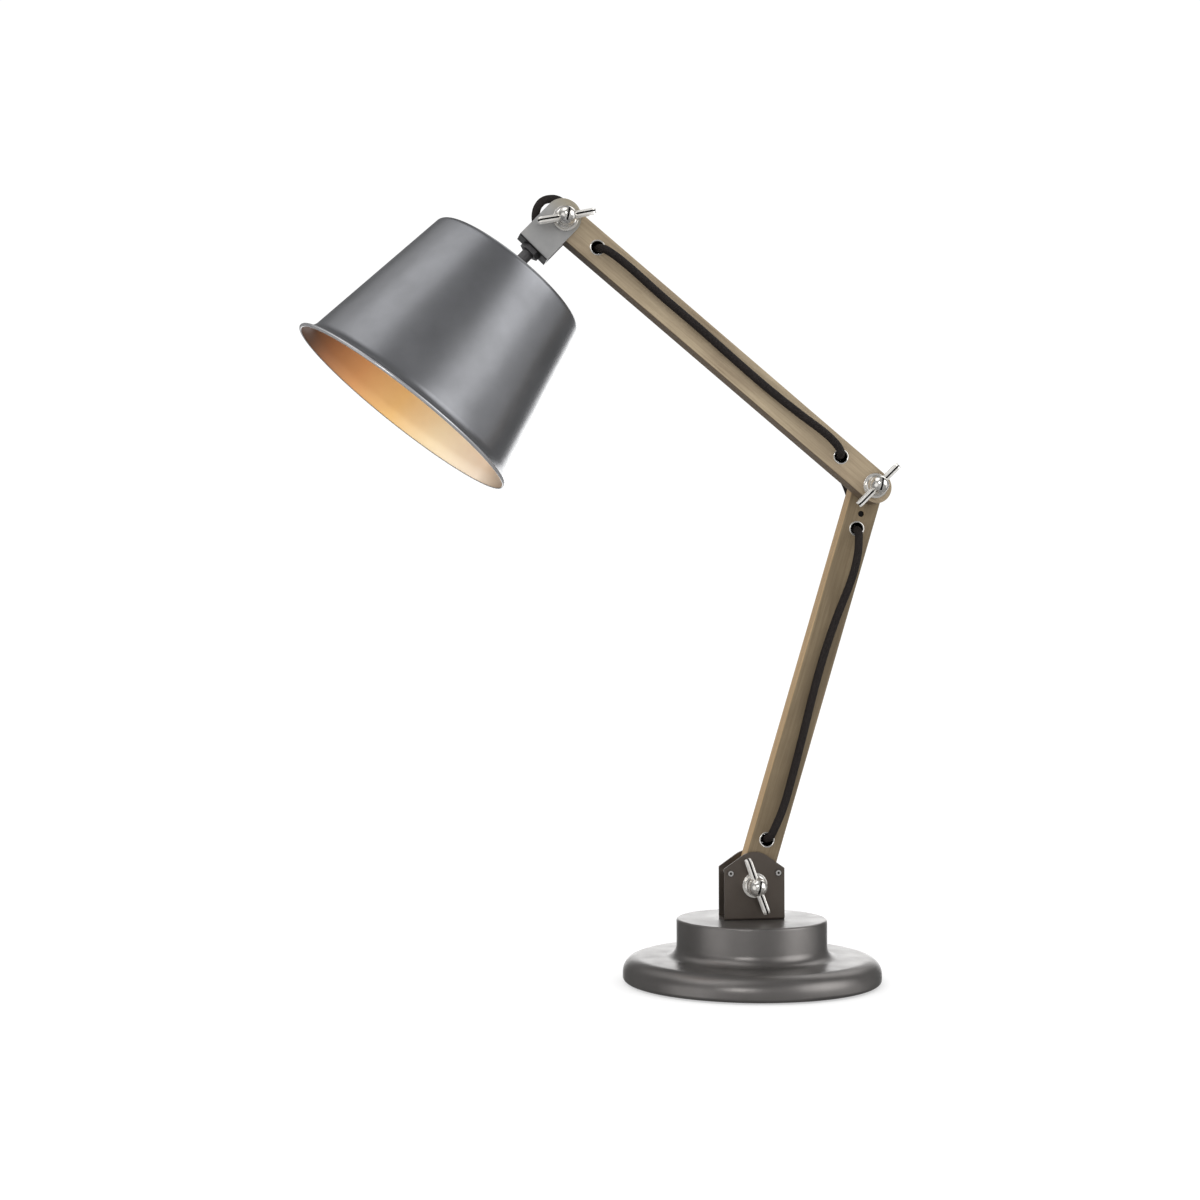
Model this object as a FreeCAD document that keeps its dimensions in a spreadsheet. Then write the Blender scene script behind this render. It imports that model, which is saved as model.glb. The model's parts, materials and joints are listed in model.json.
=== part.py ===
import FreeCAD, Part
import math
import os
import re
import Sketcher
from FreeCAD import Placement, Rotation, Vector

# An architect desk lamp: a weighted round base, two wooden arms and a conical shade, joined by
# three friction joints, each tightened by a wing nut on a bolt. Millimetres and degrees, +Z up.
# The origin is the centre of the foot pad's underside. All three pivots turn about the Y axis,
# the lamp leans and reaches in the XZ plane, and its front, where the wing nuts are, faces -Y.

# Driving dimensions, one spreadsheet cell each.
SIZES = {
    # base shell, weight and floor
    "base_radius": 90.0,
    "base_edge_round": 11.0,
    "base_foot_round": 3.0,
    "disc_top": 18.0,
    "drum_radius": 52.5,
    "drum_top": 44.0,
    "cove_round": 8.0,
    "drum_round": 1.6,
    "shell_wall": 2.0,
    "cavity_radius": 76.0,
    "fit_gap": 0.3,
    "pad_thick": 1.0,
    "pad_radius": 82.0,
    "plate_radius": 84.0,
    "plate_top": 3.0,
    "plate_screw_circle": 64.0,
    "plate_screw_radius": 1.75,
    "plate_screw_head_radius": 3.6,
    "plate_screw_length": 11.0,
    "weight_ring_inner": 28.0,
    "weight_ring_top": 30.0,
    "nut_pocket_radius": 9.0,
    "nut_pocket_top": 9.0,
    "lead_channel_width": 10.0,
    "lead_channel_start": 15.0,
    "centre_bolt_head_radius": 7.0,
    "centre_bolt_head_height": 4.0,
    "centre_nut_height": 5.5,
    "nut_flats_large": 13.0,
    "bracket_screw_offset": 14.0,
    "bracket_screw_radius": 2.0,
    "bracket_screw_head_radius": 3.5,
    "bracket_screw_head_height": 2.4,
    "bracket_screw_end": 37.4,
    "bracket_nut_flats": 7.0,
    "bracket_nut_height": 3.0,
    "inlet_height": 9.5,
    "inlet_bush_radius": 5.0,
    "inlet_bore_radius": 3.5,
    "inlet_collar_radius": 7.0,
    "inlet_collar_thick": 2.5,
    "inlet_bush_start": 74.0,
    "grommet_x": 6.0,
    "grommet_y": 30.0,
    "grommet_neck_radius": 6.0,
    "grommet_flange_radius": 8.0,
    "grommet_flange_thick": 1.5,
    "grommet_cone_height": 8.0,
    "grommet_tip_radius": 4.2,
    "block_length": 22.0,
    "block_width": 14.0,
    "block_height": 9.0,
    "block_x": -25.0,
    "block_screw_radius": 1.8,
    "block_screw_pitch": 10.0,
    # sheet brackets and stop pins
    "sheet_thick": 1.5,
    "bracket_half_width": 21.4,
    "bracket_shoulder": 79.6,
    "bracket_crown_half": 9.0,
    "bracket_crown_start": 88.2,
    "bracket_crown_radius": 16.0,
    "stop_pin_x": 17.0,
    "stop_pin_rise": 8.3,
    "stop_pin_radius": 1.5,
    "stop_pin_head_radius": 2.4,
    "stop_pin_head_thick": 0.8,
    # wooden arms
    "arm_width": 22.5,
    "arm_thick": 14.0,
    "arm_edge_round": 1.2,
    "arm_reach": 12.6,
    "head_end_reach": 14.5,
    "lower_length": 290.5,
    "upper_length": 283.4,
    "pivot_height": 68.0,
    "lower_lean": 16.85,
    "upper_lift": 39.25,
    "arm_gap": 1.0,
    "lower_hole_low": 32.4,
    "lower_hole_high": 30.4,
    "upper_hole_low": 31.8,
    "upper_hole_high": 29.3,
    "eyelet_barrel_radius": 4.9,
    "eyelet_bore_radius": 4.4,
    "eyelet_flange_radius": 5.5,
    "eyelet_flange_thick": 0.4,
    "stop_screw_inset": 19.3,
    "stop_screw_radius": 2.2,
    "stop_screw_depth": 7.0,
    "stop_screw_sunk": 0.7,
    # pivot bolts, washers and wing nuts
    "bolt_radius": 4.0,
    "bolt_head_radius": 9.5,
    "bolt_head_height": 4.0,
    "bolt_head_rim": 0.6,
    "bolt_end_chamfer": 0.6,
    "running_gap": 0.1,
    "washer_radius": 8.8,
    "washer_thick": 1.6,
    "friction_radius": 10.0,
    "friction_thick": 0.5,
    "nut_foot_radius": 7.2,
    "nut_foot_height": 1.4,
    "nut_neck_radius": 5.6,
    "nut_ball_radius": 6.3,
    "nut_height": 15.4,
    "nut_sunk": 5.0,
    "nut_bore_spare": 0.4,
    "wing_reach": 20.6,
    "wing_thick": 4.0,
    "wing_low": 2.0,
    "wing_high": 8.6,
    "wing_tip_low": 3.0,
    "wing_tip_high": 9.6,
    "wing_round": 1.2,
    # head bracket, stem and shade
    "head_half_width": 12.7,
    "head_depth": 29.6,
    "head_offset": 2.0,
    "stem_angle": 46.5,
    "shade_angle": 52.4,
    "stem_radius": 4.2,
    "stem_bore": 3.2,
    "stem_top": 25.4,
    "stem_bend": 47.7,
    "stem_bend_round": 20.0,
    "stem_nut_flats": 12.0,
    "stem_nut_height": 2.5,
    "lock_nut_height": 3.5,
    "shade_drop": 5.5,
    "shade_wall": 1.2,
    "shade_flat": 55.8,
    "shade_shoulder_radius": 60.2,
    "shade_shoulder_depth": 3.7,
    "shade_shoulder_round": 4.5,
    "flare_radius": 79.2,
    "flare_start": 109.7,
    "flare_round": 10.3,
    "lip_radius": 86.0,
    "rim_radius": 87.0,
    "shade_height": 118.8,
    # lampholder and bulb
    "holder_radius": 14.0,
    "holder_end": 39.2,
    "holder_wall": 3.0,
    "holder_bore": 8.2,
    "holder_cell_radius": 11.5,
    "holder_cell_end": 12.0,
    "holder_round": 1.4,
    "insert_start": 8.2,
    "sleeve_inner": 6.8,
    "sleeve_end": 36.0,
    "contact_radius": 2.0,
    "bulb_tip": 14.0,
    "bulb_tip_radius": 2.3,
    "bulb_cap_start": 17.0,
    "bulb_cap_radius": 6.7,
    "bulb_neck": 40.0,
    "bulb_neck_radius": 7.0,
    "bulb_ball_radius": 22.5,
    "bulb_ball_side": 17.0,
    "bulb_end": 86.5,
    "glass_wall": 1.0,
    # cable
    "cable_radius": 2.8,
}

FRONT = Rotation(Vector(1, 0, 0), 90)   # turns a piece's own +Z to the lamp's front, -Y
BENT_SHARE = 0.45                       # share of the shorter run that each cable arc uses

document = FreeCAD.newDocument("architect_desk_lamp")
sheet = document.addObject("Spreadsheet::Sheet", "Dims")
nodes = []


def fill_sheet():
    """Write each driving dimension as a plain number with its own alias."""
    for row, (alias, number) in enumerate(SIZES.items(), start=1):
        sheet.set(f"A{row}", alias)
        sheet.set(f"B{row}", str(number))
        sheet.setAlias(f"B{row}", alias)
    document.recompute()


def bound(expression):
    """Point every plain word of an expression at its cell in the sheet."""
    return re.sub(r"[a-z][a-z_]*", lambda word: "Dims." + word.group(0), expression)


def value(expression):
    """Give the number that an expression of cell names stands for."""
    return float(sheet.evalExpression(bound(expression)))


def about_y(degrees, position):
    """Place a frame at a point, turned about the Y axis."""
    return Placement(position, Rotation(Vector(0, 1, 0), degrees))


def moved(frame, x=0.0, y=0.0, z=0.0, turn=Rotation()):
    """Place a piece inside a frame."""
    return frame.multiply(Placement(Vector(x, y, z), turn))


def keep(piece):
    """Count a finished object as one node of the lamp."""
    nodes.append(piece)
    return piece


# ---- sketches and features ----------------------------------------------------------------


def new_body(name, placement):
    body = document.addObject("PartDesign::Body", name)
    body.Label = name
    body.Placement = placement
    return body


def new_sketch(body, plane):
    """Attach an empty sketch to one of the body's own origin planes."""
    sketch = body.newObject("Sketcher::SketchObject", body.Name + "_sketch")
    origin_plane = [item for item in body.Origin.OriginFeatures if item.Role == plane][0]
    sketch.AttachmentSupport = [(origin_plane, "")]
    sketch.MapMode = "FlatFace"
    return sketch


def bind(sketch, kind, geometry, point, expression):
    """Hold one coordinate of a point by an expression, measured from the sketch's origin."""
    number = value(expression)
    if abs(number) < 1e-9:
        axis = -2 if kind == "DistanceX" else -1
        sketch.addConstraint(Sketcher.Constraint("PointOnObject", geometry, point, axis))
        return
    if number > 0:
        constraint = Sketcher.Constraint(kind, -1, 1, geometry, point, number)
        index = sketch.addConstraint(constraint)
        sketch.setExpression(f"Constraints[{index}]", bound(expression))
    else:
        constraint = Sketcher.Constraint(kind, geometry, point, -1, 1, -number)
        index = sketch.addConstraint(constraint)
        sketch.setExpression(f"Constraints[{index}]", f"-({bound(expression)})")


def outline(sketch, vertices):
    """Draw a closed outline.

    A vertex is (x, y), or (x, y, radius, side) where the stretch to the next vertex is an arc
    that bulges to the left of the way round (side 1) or to its right (side -1).
    """
    corners = [Vector(value(vertex[0]), value(vertex[1]), 0) for vertex in vertices]
    ends = []
    for index, vertex in enumerate(vertices):
        start = corners[index]
        end = corners[(index + 1) % len(corners)]
        if len(vertex) == 2:
            geometry = sketch.addGeometry(Part.LineSegment(start, end), False)
            ends.append((geometry, 1, 2))
            continue
        radius, side = vertex[2], vertex[3]
        chord = end - start
        size = value(radius)
        rise = size - math.sqrt(max(size * size - chord.Length ** 2 / 4, 0.0))
        left = Vector(-chord.y, chord.x, 0).normalize()
        middle = (start + end) * 0.5 + left * (side * rise)
        if side > 0:
            geometry = sketch.addGeometry(Part.Arc(end, middle, start), False)
            ends.append((geometry, 2, 1))
        else:
            geometry = sketch.addGeometry(Part.Arc(start, middle, end), False)
            ends.append((geometry, 1, 2))
        held = sketch.addConstraint(Sketcher.Constraint("Radius", geometry, size))
        sketch.setExpression(f"Constraints[{held}]", bound(radius))
    for index, (geometry, first, last) in enumerate(ends):
        following, follow_first, _ = ends[(index + 1) % len(ends)]
        joint = Sketcher.Constraint("Coincident", geometry, last, following, follow_first)
        sketch.addConstraint(joint)
        bind(sketch, "DistanceX", geometry, first, vertices[index][0])
        bind(sketch, "DistanceY", geometry, first, vertices[index][1])


def circle(sketch, x, y, radius):
    """Draw one circle whose centre and radius are held by expressions."""
    centre = Vector(value(x), value(y), 0)
    shape = Part.Circle(centre, Vector(0, 0, 1), value(radius))
    geometry = sketch.addGeometry(shape, False)
    bind(sketch, "DistanceX", geometry, 3, x)
    bind(sketch, "DistanceY", geometry, 3, y)
    held = sketch.addConstraint(Sketcher.Constraint("Radius", geometry, value(radius)))
    sketch.setExpression(f"Constraints[{held}]", bound(radius))


def revolve(body, vertices, kind="Revolution"):
    """Turn an outline in the XZ plane about the body's Z axis, to add or to cut."""
    sketch = new_sketch(body, "XZ_Plane")
    outline(sketch, vertices)
    feature = body.newObject("PartDesign::" + kind, body.Name + "_turned")
    feature.Profile = sketch
    feature.ReferenceAxis = (sketch, ["V_Axis"])
    feature.Angle = 360
    document.recompute()
    return feature


def extrude(body, plane, vertices, length):
    """Pad an outline evenly to both sides of one of the body's planes."""
    sketch = new_sketch(body, plane)
    outline(sketch, vertices)
    feature = body.newObject("PartDesign::Pad", body.Name + "_pad")
    feature.Profile = sketch
    feature.SideType = "Symmetric"
    feature.setExpression("Length", bound(length))
    document.recompute()
    return feature


def cut_through(body, plane, draw, *shape):
    """Cut a drawn shape right through the body, and make sure that it cuts."""
    before = body.Shape.Volume
    sketch = new_sketch(body, plane)
    draw(sketch, *shape)
    feature = body.newObject("PartDesign::Pocket", body.Name + "_cut")
    feature.Profile = sketch
    feature.Type = "ThroughAll"
    feature.SideType = "Symmetric"
    document.recompute()
    if body.Shape.Volume > before - 1e-3:
        raise RuntimeError(f"{body.Label}: a cut removed nothing")
    return feature


def cut_to(body, plane, draw, shape, length, reverse):
    """Cut a drawn shape to a depth on one side of a plane, and make sure that it cuts."""
    before = body.Shape.Volume
    sketch = new_sketch(body, plane)
    draw(sketch, *shape)
    feature = body.newObject("PartDesign::Pocket", body.Name + "_cut")
    feature.Profile = sketch
    feature.Reversed = reverse
    feature.setExpression("Length", bound(length))
    document.recompute()
    if body.Shape.Volume > before - 1e-3:
        raise RuntimeError(f"{body.Label}: a cut removed nothing")
    return feature


def round_edges(body, radius, wanted):
    """Fillet the edges of the body's tip that a test picks out."""
    tip = body.Tip
    names = [f"Edge{i}" for i, edge in enumerate(tip.Shape.Edges, start=1) if wanted(edge)]
    if not names:
        raise RuntimeError(f"{body.Label}: no edge to round")
    feature = body.newObject("PartDesign::Fillet", body.Name + "_round")
    feature.Base = (tip, names)
    feature.setExpression("Radius", bound(radius))
    document.recompute()
    return feature


def is_ring(radius, height):
    """Pick the circular edge of a given radius at a given height."""
    def test(edge):
        box = edge.BoundBox
        same_width = abs(box.XMax - value(radius)) < 1e-3
        same_height = abs(box.ZMax - value(height)) < 1e-3
        return same_width and same_height and box.ZLength < 1e-3
    return test


def turned(name, placement, vertices):
    """Make a whole piece by turning one outline."""
    body = new_body(name, placement)
    revolve(body, vertices)
    return body


def group(name, pieces):
    """Join identical separate solids in one node."""
    compound = document.addObject("Part::Compound", name)
    compound.Label = name
    compound.Links = pieces
    document.recompute()
    return keep(compound)


def ring(name, placement, outer, inner, height):
    """Make a flat ring such as a washer."""
    vertices = [(inner, "0"), (outer, "0"), (outer, height), (inner, height)]
    return turned(name, placement, vertices)


def hex_nut(name, placement, flats, bore, height):
    """Make a hexagon nut standing on its seat, with a plain bore."""
    body = new_body(name, placement)
    corner = f"{flats} * 0.57735"
    half = f"{flats} * 0.288675"
    side = f"{flats} * 0.5"
    vertices = [
        (corner, "0"),
        (half, side),
        (f"-({half})", side),
        (f"-({corner})", "0"),
        (f"-({half})", f"-({side})"),
        (half, f"-({side})"),
    ]
    sketch = new_sketch(body, "XY_Plane")
    outline(sketch, vertices)
    feature = body.newObject("PartDesign::Pad", body.Name + "_pad")
    feature.Profile = sketch
    feature.setExpression("Length", bound(height))
    document.recompute()
    cut_through(body, "XY_Plane", circle, "0", "0", bore)
    return body


# ---- cable ----------------------------------------------------------------------------------


def route_wire(points):
    """Join straight runs by tangent arcs, each as large as its two runs allow."""
    cuts = [points[0]]
    radii = []
    for before, corner, after in zip(points, points[1:], points[2:]):
        back = before - corner
        ahead = after - corner
        turn = math.pi - back.getAngle(ahead)
        setback = BENT_SHARE * min(back.Length, ahead.Length)
        radii.append(setback / math.tan(turn / 2))
        start = corner + back.normalize() * setback
        end = corner + ahead.normalize() * setback
        inward = ((start + end) * 0.5 - corner).normalize()
        centre_distance = setback / math.sin(turn / 2)
        middle = corner + inward * (centre_distance - radii[-1])
        cuts.append((start, middle, end))
    cuts.append(points[-1])
    edges = []
    place = cuts[0]
    for start, middle, end in cuts[1:-1]:
        edges.append(Part.LineSegment(place, start).toShape())
        edges.append(Part.Arc(start, middle, end).toShape())
        place = end
    edges.append(Part.LineSegment(place, cuts[-1]).toShape())
    return Part.Wire(edges), radii


def swept(wire, radius):
    """Sweep a round section along a wire."""
    start = wire.Edges[0].valueAt(wire.Edges[0].FirstParameter)
    heading = wire.Edges[0].tangentAt(wire.Edges[0].FirstParameter)
    section = Part.Wire([Part.makeCircle(radius, start, heading)])
    return wire.makePipeShell([section], True, True)


def cable(name, points):
    """Make one stretch of cable and compare its volume with section times length."""
    radius = value("cable_radius")
    wire, radii = route_wire(points)
    solid = swept(wire, radius)
    expected = math.pi * radius * radius * wire.Length
    if abs(solid.Volume / expected - 1) > 0.01:
        raise RuntimeError(f"{name}: the tube's volume is not section times length")
    print(f"{name}: length {wire.Length:.1f}, arc radii", [round(item, 1) for item in radii])
    feature = document.addObject("Part::Feature", name)
    feature.Label = name
    feature.Shape = solid
    feature.Placement = Placement()
    return keep(feature)


def along(frame, points):
    """Carry hand-set route points from a frame to the lamp."""
    return [frame.multVec(Vector(*point)) for point in points]


# ---- base -----------------------------------------------------------------------------------


def base_shell():
    """Spun disc with a bullnose edge, a cove and a drum, open below, hollow inside."""
    body = new_body("base_shell", Placement())
    revolve(body, [
        ("0", "pad_thick"),
        ("base_radius", "pad_thick"),
        ("base_radius", "disc_top"),
        ("drum_radius", "disc_top"),
        ("drum_radius", "drum_top"),
        ("0", "drum_top"),
    ])
    round_edges(body, "base_edge_round", is_ring("base_radius", "disc_top"))
    round_edges(body, "base_foot_round", is_ring("base_radius", "pad_thick"))
    round_edges(body, "cove_round", is_ring("drum_radius", "disc_top"))
    round_edges(body, "drum_round", is_ring("drum_radius", "drum_top"))
    revolve(body, [
        ("0", "pad_thick"),
        ("plate_radius", "pad_thick"),
        ("plate_radius", "plate_top"),
        ("cavity_radius", "plate_top"),
        ("cavity_radius", "disc_top - shell_wall"),
        ("drum_radius - shell_wall", "disc_top - shell_wall"),
        ("drum_radius - shell_wall", "drum_top - shell_wall"),
        ("0", "drum_top - shell_wall"),
    ], "Groove")
    cut_through(body, "XY_Plane", circle, "0", "0", "bolt_radius + running_gap")
    for side in ("bracket_screw_offset", "-bracket_screw_offset"):
        cut_through(body, "XY_Plane", circle, side, "0", "bracket_screw_radius + running_gap")
    cut_through(body, "XY_Plane", circle, "grommet_x", "grommet_y", "grommet_neck_radius")
    inlet = ("0", "inlet_height", "inlet_bush_radius")
    cut_to(body, "XZ_Plane", circle, inlet, "base_radius + fit_gap", False)
    return keep(body)


def ballast_weight():
    """Cast-iron disc that fills the base, with a ring up inside the drum."""
    top = "disc_top - shell_wall - fit_gap"
    ring_outer = "drum_radius - shell_wall - fit_gap"
    body = new_body("ballast_weight", Placement())
    revolve(body, [
        ("nut_pocket_radius", "plate_top"),
        ("cavity_radius - fit_gap", "plate_top"),
        ("cavity_radius - fit_gap", top),
        (ring_outer, top),
        (ring_outer, "weight_ring_top"),
        ("weight_ring_inner", "weight_ring_top"),
        ("weight_ring_inner", top),
        ("bolt_radius + running_gap", top),
        ("bolt_radius + running_gap", "nut_pocket_top"),
        ("nut_pocket_radius", "nut_pocket_top"),
    ])
    half = "lead_channel_width * 0.5"
    channel = [
        (half, "lead_channel_start"),
        (half, "base_radius"),
        (f"-({half})", "base_radius"),
        (f"-({half})", "lead_channel_start"),
    ]
    cut_to(body, "XY_Plane", outline, (channel,), top, True)
    for angle in plate_screw_angles():
        x, y = on_circle("plate_screw_circle", angle)
        hole = (x, y, "plate_screw_radius + running_gap")
        cut_to(body, "XY_Plane", circle, hole, "plate_screw_length + pad_thick + fit_gap", True)
    return keep(body)


def plate_screw_angles():
    """Three screws, clear of the lead channel at the back."""
    return [-90, 30, 150]


def on_circle(radius, degrees):
    """Write the two coordinates of a point on a circle as expressions."""
    angle = math.radians(degrees)
    return f"{radius} * {math.cos(angle):.6f}", f"{radius} * {math.sin(angle):.6f}"


def base_plate():
    """Steel floor plate, countersunk for its three screws."""
    radius = "plate_radius - fit_gap"
    body = new_body("base_plate", Placement())
    revolve(body, [
        ("0", "pad_thick"), (radius, "pad_thick"), (radius, "plate_top"), ("0", "plate_top"),
    ])
    for angle in plate_screw_angles():
        x, y = on_circle("plate_screw_circle", angle)
        cut_through(body, "XY_Plane", circle, x, y, "plate_screw_head_radius + running_gap")
    return keep(body)


def base_plate_screws():
    """Cheese-head screws that hold the floor plate to the weight."""
    screws = []
    for number, angle in enumerate(plate_screw_angles(), start=1):
        x, y = on_circle("plate_screw_circle", angle)
        spot = Vector(value(x), value(y), value("pad_thick"))
        screws.append(turned(f"plate_screw_{number}", Placement(spot, Rotation()), [
            ("0", "0"),
            ("plate_screw_head_radius", "0"),
            ("plate_screw_head_radius", "plate_top - pad_thick"),
            ("plate_screw_radius", "plate_top - pad_thick"),
            ("plate_screw_radius", "plate_screw_length"),
            ("0", "plate_screw_length"),
        ]))
    group("base_plate_screws", screws)


def foot_pad():
    """Felt disc under the floor plate."""
    keep(turned("foot_pad", Placement(), [
        ("0", "0"), ("pad_radius", "0"), ("pad_radius", "pad_thick"), ("0", "pad_thick"),
    ]))


def centre_bolt():
    """Bolt that clamps bracket, shell and weight, with its head between the ears."""
    shoulder = value("drum_top + sheet_thick + centre_bolt_head_height")
    frame = Placement(Vector(0, 0, shoulder), Rotation(Vector(1, 0, 0), 180))
    end = "drum_top + sheet_thick + centre_bolt_head_height - plate_top - fit_gap"
    keep(turned("centre_bolt", frame, [
        ("0", "0"),
        ("centre_bolt_head_radius - bolt_end_chamfer", "0"),
        ("centre_bolt_head_radius", "bolt_end_chamfer"),
        ("centre_bolt_head_radius", "centre_bolt_head_height"),
        ("bolt_radius", "centre_bolt_head_height"),
        ("bolt_radius", end),
        ("0", end),
    ]))
    seat = Placement(Vector(0, 0, value("nut_pocket_top - centre_nut_height")), Rotation())
    keep(hex_nut("centre_nut", seat, "nut_flats_large", "bolt_radius", "centre_nut_height"))


def bracket_screws():
    """Two small screws and nuts that stop the bracket turning on the drum."""
    screws = []
    nuts = []
    top = value("drum_top + sheet_thick + bracket_screw_head_height")
    end = "drum_top + sheet_thick + bracket_screw_head_height - bracket_screw_end"
    nut_seat = value("drum_top - shell_wall - bracket_nut_height")
    for number, side in enumerate((-1, 1), start=1):
        x = side * value("bracket_screw_offset")
        frame = Placement(Vector(x, 0, top), Rotation(Vector(1, 0, 0), 180))
        screws.append(turned(f"bracket_screw_{number}", frame, [
            ("0", "0"),
            ("bracket_screw_head_radius", "0"),
            ("bracket_screw_head_radius", "bracket_screw_head_height"),
            ("bracket_screw_radius", "bracket_screw_head_height"),
            ("bracket_screw_radius", end),
            ("0", end),
        ]))
        seat = Placement(Vector(x, 0, nut_seat), Rotation())
        size = ("bracket_nut_flats", "bracket_screw_radius", "bracket_nut_height")
        nuts.append(hex_nut(f"bracket_nut_{number}", seat, *size))
    group("bracket_screws", screws)
    group("bracket_nuts", nuts)


def base_bracket():
    """Folded steel U with two upright ears that hold the lower arm."""
    body = new_body("base_bracket", Placement())
    width = "arm_thick + friction_thick * 2 + sheet_thick * 2"
    extrude(body, "XZ_Plane", [
        ("-bracket_half_width", "drum_top"),
        ("bracket_half_width", "drum_top"),
        ("bracket_half_width", "bracket_shoulder"),
        ("bracket_crown_half", "bracket_crown_start", "bracket_crown_radius", -1),
        ("-bracket_crown_half", "bracket_crown_start"),
        ("-bracket_half_width", "bracket_shoulder"),
    ], width)
    round_edges(body, "sheet_thick", lambda edge: (
        edge.BoundBox.ZMax < value("drum_top") + 1e-3
        and edge.BoundBox.XLength > value("bracket_half_width")
    ))
    inner = "arm_thick * 0.5 + friction_thick"
    cut_through(body, "YZ_Plane", outline, [
        (inner, "drum_top + sheet_thick"),
        (inner, "pivot_height * 2"),
        (f"-({inner})", "pivot_height * 2"),
        (f"-({inner})", "drum_top + sheet_thick"),
    ])
    cut_through(body, "XZ_Plane", circle, "0", "pivot_height", "bolt_radius")
    for side in ("stop_pin_x", "-stop_pin_x"):
        height = "pivot_height + stop_pin_rise"
        cut_through(body, "XZ_Plane", circle, side, height, "stop_pin_radius")
    cut_through(body, "XY_Plane", circle, "0", "0", "bolt_radius")
    for side in ("bracket_screw_offset", "-bracket_screw_offset"):
        cut_through(body, "XY_Plane", circle, side, "0", "bracket_screw_radius")
    return keep(body)


def stop_pins():
    """Riveted pins across the ears that stop the lower arm each way."""
    half = "arm_thick * 0.5 + friction_thick + sheet_thick"
    length = f"({half} + stop_pin_head_thick) * 2"
    pins = []
    for number, side in enumerate((-1, 1), start=1):
        x = side * value("stop_pin_x")
        y = value(f"{half} + stop_pin_head_thick")
        spot = Vector(x, y, value("pivot_height + stop_pin_rise"))
        pins.append(turned(f"stop_pin_{number}", Placement(spot, FRONT), [
            ("0", "0"),
            ("stop_pin_head_radius", "0"),
            ("stop_pin_head_radius", "stop_pin_head_thick"),
            ("stop_pin_radius", "stop_pin_head_thick"),
            ("stop_pin_radius", f"{length} - stop_pin_head_thick"),
            ("stop_pin_head_radius", f"{length} - stop_pin_head_thick"),
            ("stop_pin_head_radius", length),
            ("0", length),
        ]))
    group("stop_pins", pins)


def base_grommet():
    """Rubber grommet with a tapered sleeve where the cable enters the drum's top."""
    inside = "drum_top - shell_wall - grommet_flange_thick"
    bore = "cable_radius + running_gap"
    spot = Vector(value("grommet_x"), value("grommet_y"), 0)
    keep(turned("base_cable_grommet", Placement(spot, Rotation()), [
        (bore, inside),
        ("grommet_flange_radius", inside),
        ("grommet_flange_radius", "drum_top - shell_wall"),
        ("grommet_neck_radius", "drum_top - shell_wall"),
        ("grommet_neck_radius", "drum_top"),
        ("grommet_flange_radius", "drum_top"),
        ("grommet_flange_radius", "drum_top + grommet_flange_thick"),
        ("grommet_neck_radius", "drum_top + grommet_flange_thick"),
        ("grommet_tip_radius", "drum_top + grommet_cone_height"),
        (bore, "drum_top + grommet_cone_height"),
    ]))


def mains_inlet_bush():
    """Bush at the back of the base, where the mains lead would come in."""
    start = Vector(0, value("inlet_bush_start"), value("inlet_height"))
    frame = Placement(start, Rotation(Vector(1, 0, 0), -90))
    collar = "base_radius - inlet_bush_start"
    keep(turned("mains_inlet_bush", frame, [
        ("inlet_bore_radius", "0"),
        ("inlet_bush_radius - running_gap", "0"),
        ("inlet_bush_radius - running_gap", collar),
        ("inlet_collar_radius", collar),
        ("inlet_collar_radius", f"{collar} + inlet_collar_thick"),
        ("inlet_bore_radius", f"{collar} + inlet_collar_thick"),
    ]))


def terminal_block():
    """Two-pole block that joins the mains lead to the lamp's own cable."""
    floor = value("disc_top - shell_wall - fit_gap")
    body = new_body("terminal_block", Placement(Vector(0, 0, floor), Rotation()))
    side = "block_x + block_width"
    half = "block_length * 0.5"
    sketch = new_sketch(body, "XY_Plane")
    outline(sketch, [
        ("block_x", f"-({half})"), (side, f"-({half})"), (side, half), ("block_x", half),
    ])
    feature = body.newObject("PartDesign::Pad", "terminal_block_pad")
    feature.Profile = sketch
    feature.setExpression("Length", "Dims.block_height")
    document.recompute()
    for offset in ("block_screw_pitch * 0.5", "-(block_screw_pitch * 0.5)"):
        middle = "block_x + block_width * 0.5"
        cut_through(body, "XY_Plane", circle, middle, offset, "block_screw_radius")
    return keep(body)


# ---- joint hardware ---------------------------------------------------------------------------


def pivot_bolt(name, pivot, back, grip):
    """Dome-headed bolt; back is the Y of its head's seat, grip the length it clamps."""
    length = f"bolt_head_height + {grip} + nut_height - nut_sunk"
    dome = "bolt_head_height - bolt_head_rim"
    seat = moved(pivot, y=back + value("bolt_head_height"), turn=FRONT)
    return keep(turned(name, seat, [
        ("0", "0", f"(bolt_head_radius ^ 2 + ({dome}) ^ 2) / (2 * ({dome}))", -1),
        ("bolt_head_radius", "bolt_head_height - bolt_head_rim"),
        ("bolt_head_radius", "bolt_head_height"),
        ("bolt_radius", "bolt_head_height"),
        ("bolt_radius", f"{length} - bolt_end_chamfer"),
        ("bolt_radius - bolt_end_chamfer", length),
        ("0", length),
    ]))


def plain_washer(name, pivot, back):
    """Steel washer; back is the Y of the face that it lies on."""
    seat = moved(pivot, y=back, turn=FRONT)
    bore = "bolt_radius + running_gap"
    return keep(ring(name, seat, "washer_radius", bore, "washer_thick"))


def friction_washer(name, pivot, back, height="friction_thick"):
    """Fibre washer that gives the joint its drag."""
    seat = moved(pivot, y=back, turn=FRONT)
    return ring(name, seat, "friction_radius", "bolt_radius + running_gap", height)


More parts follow.
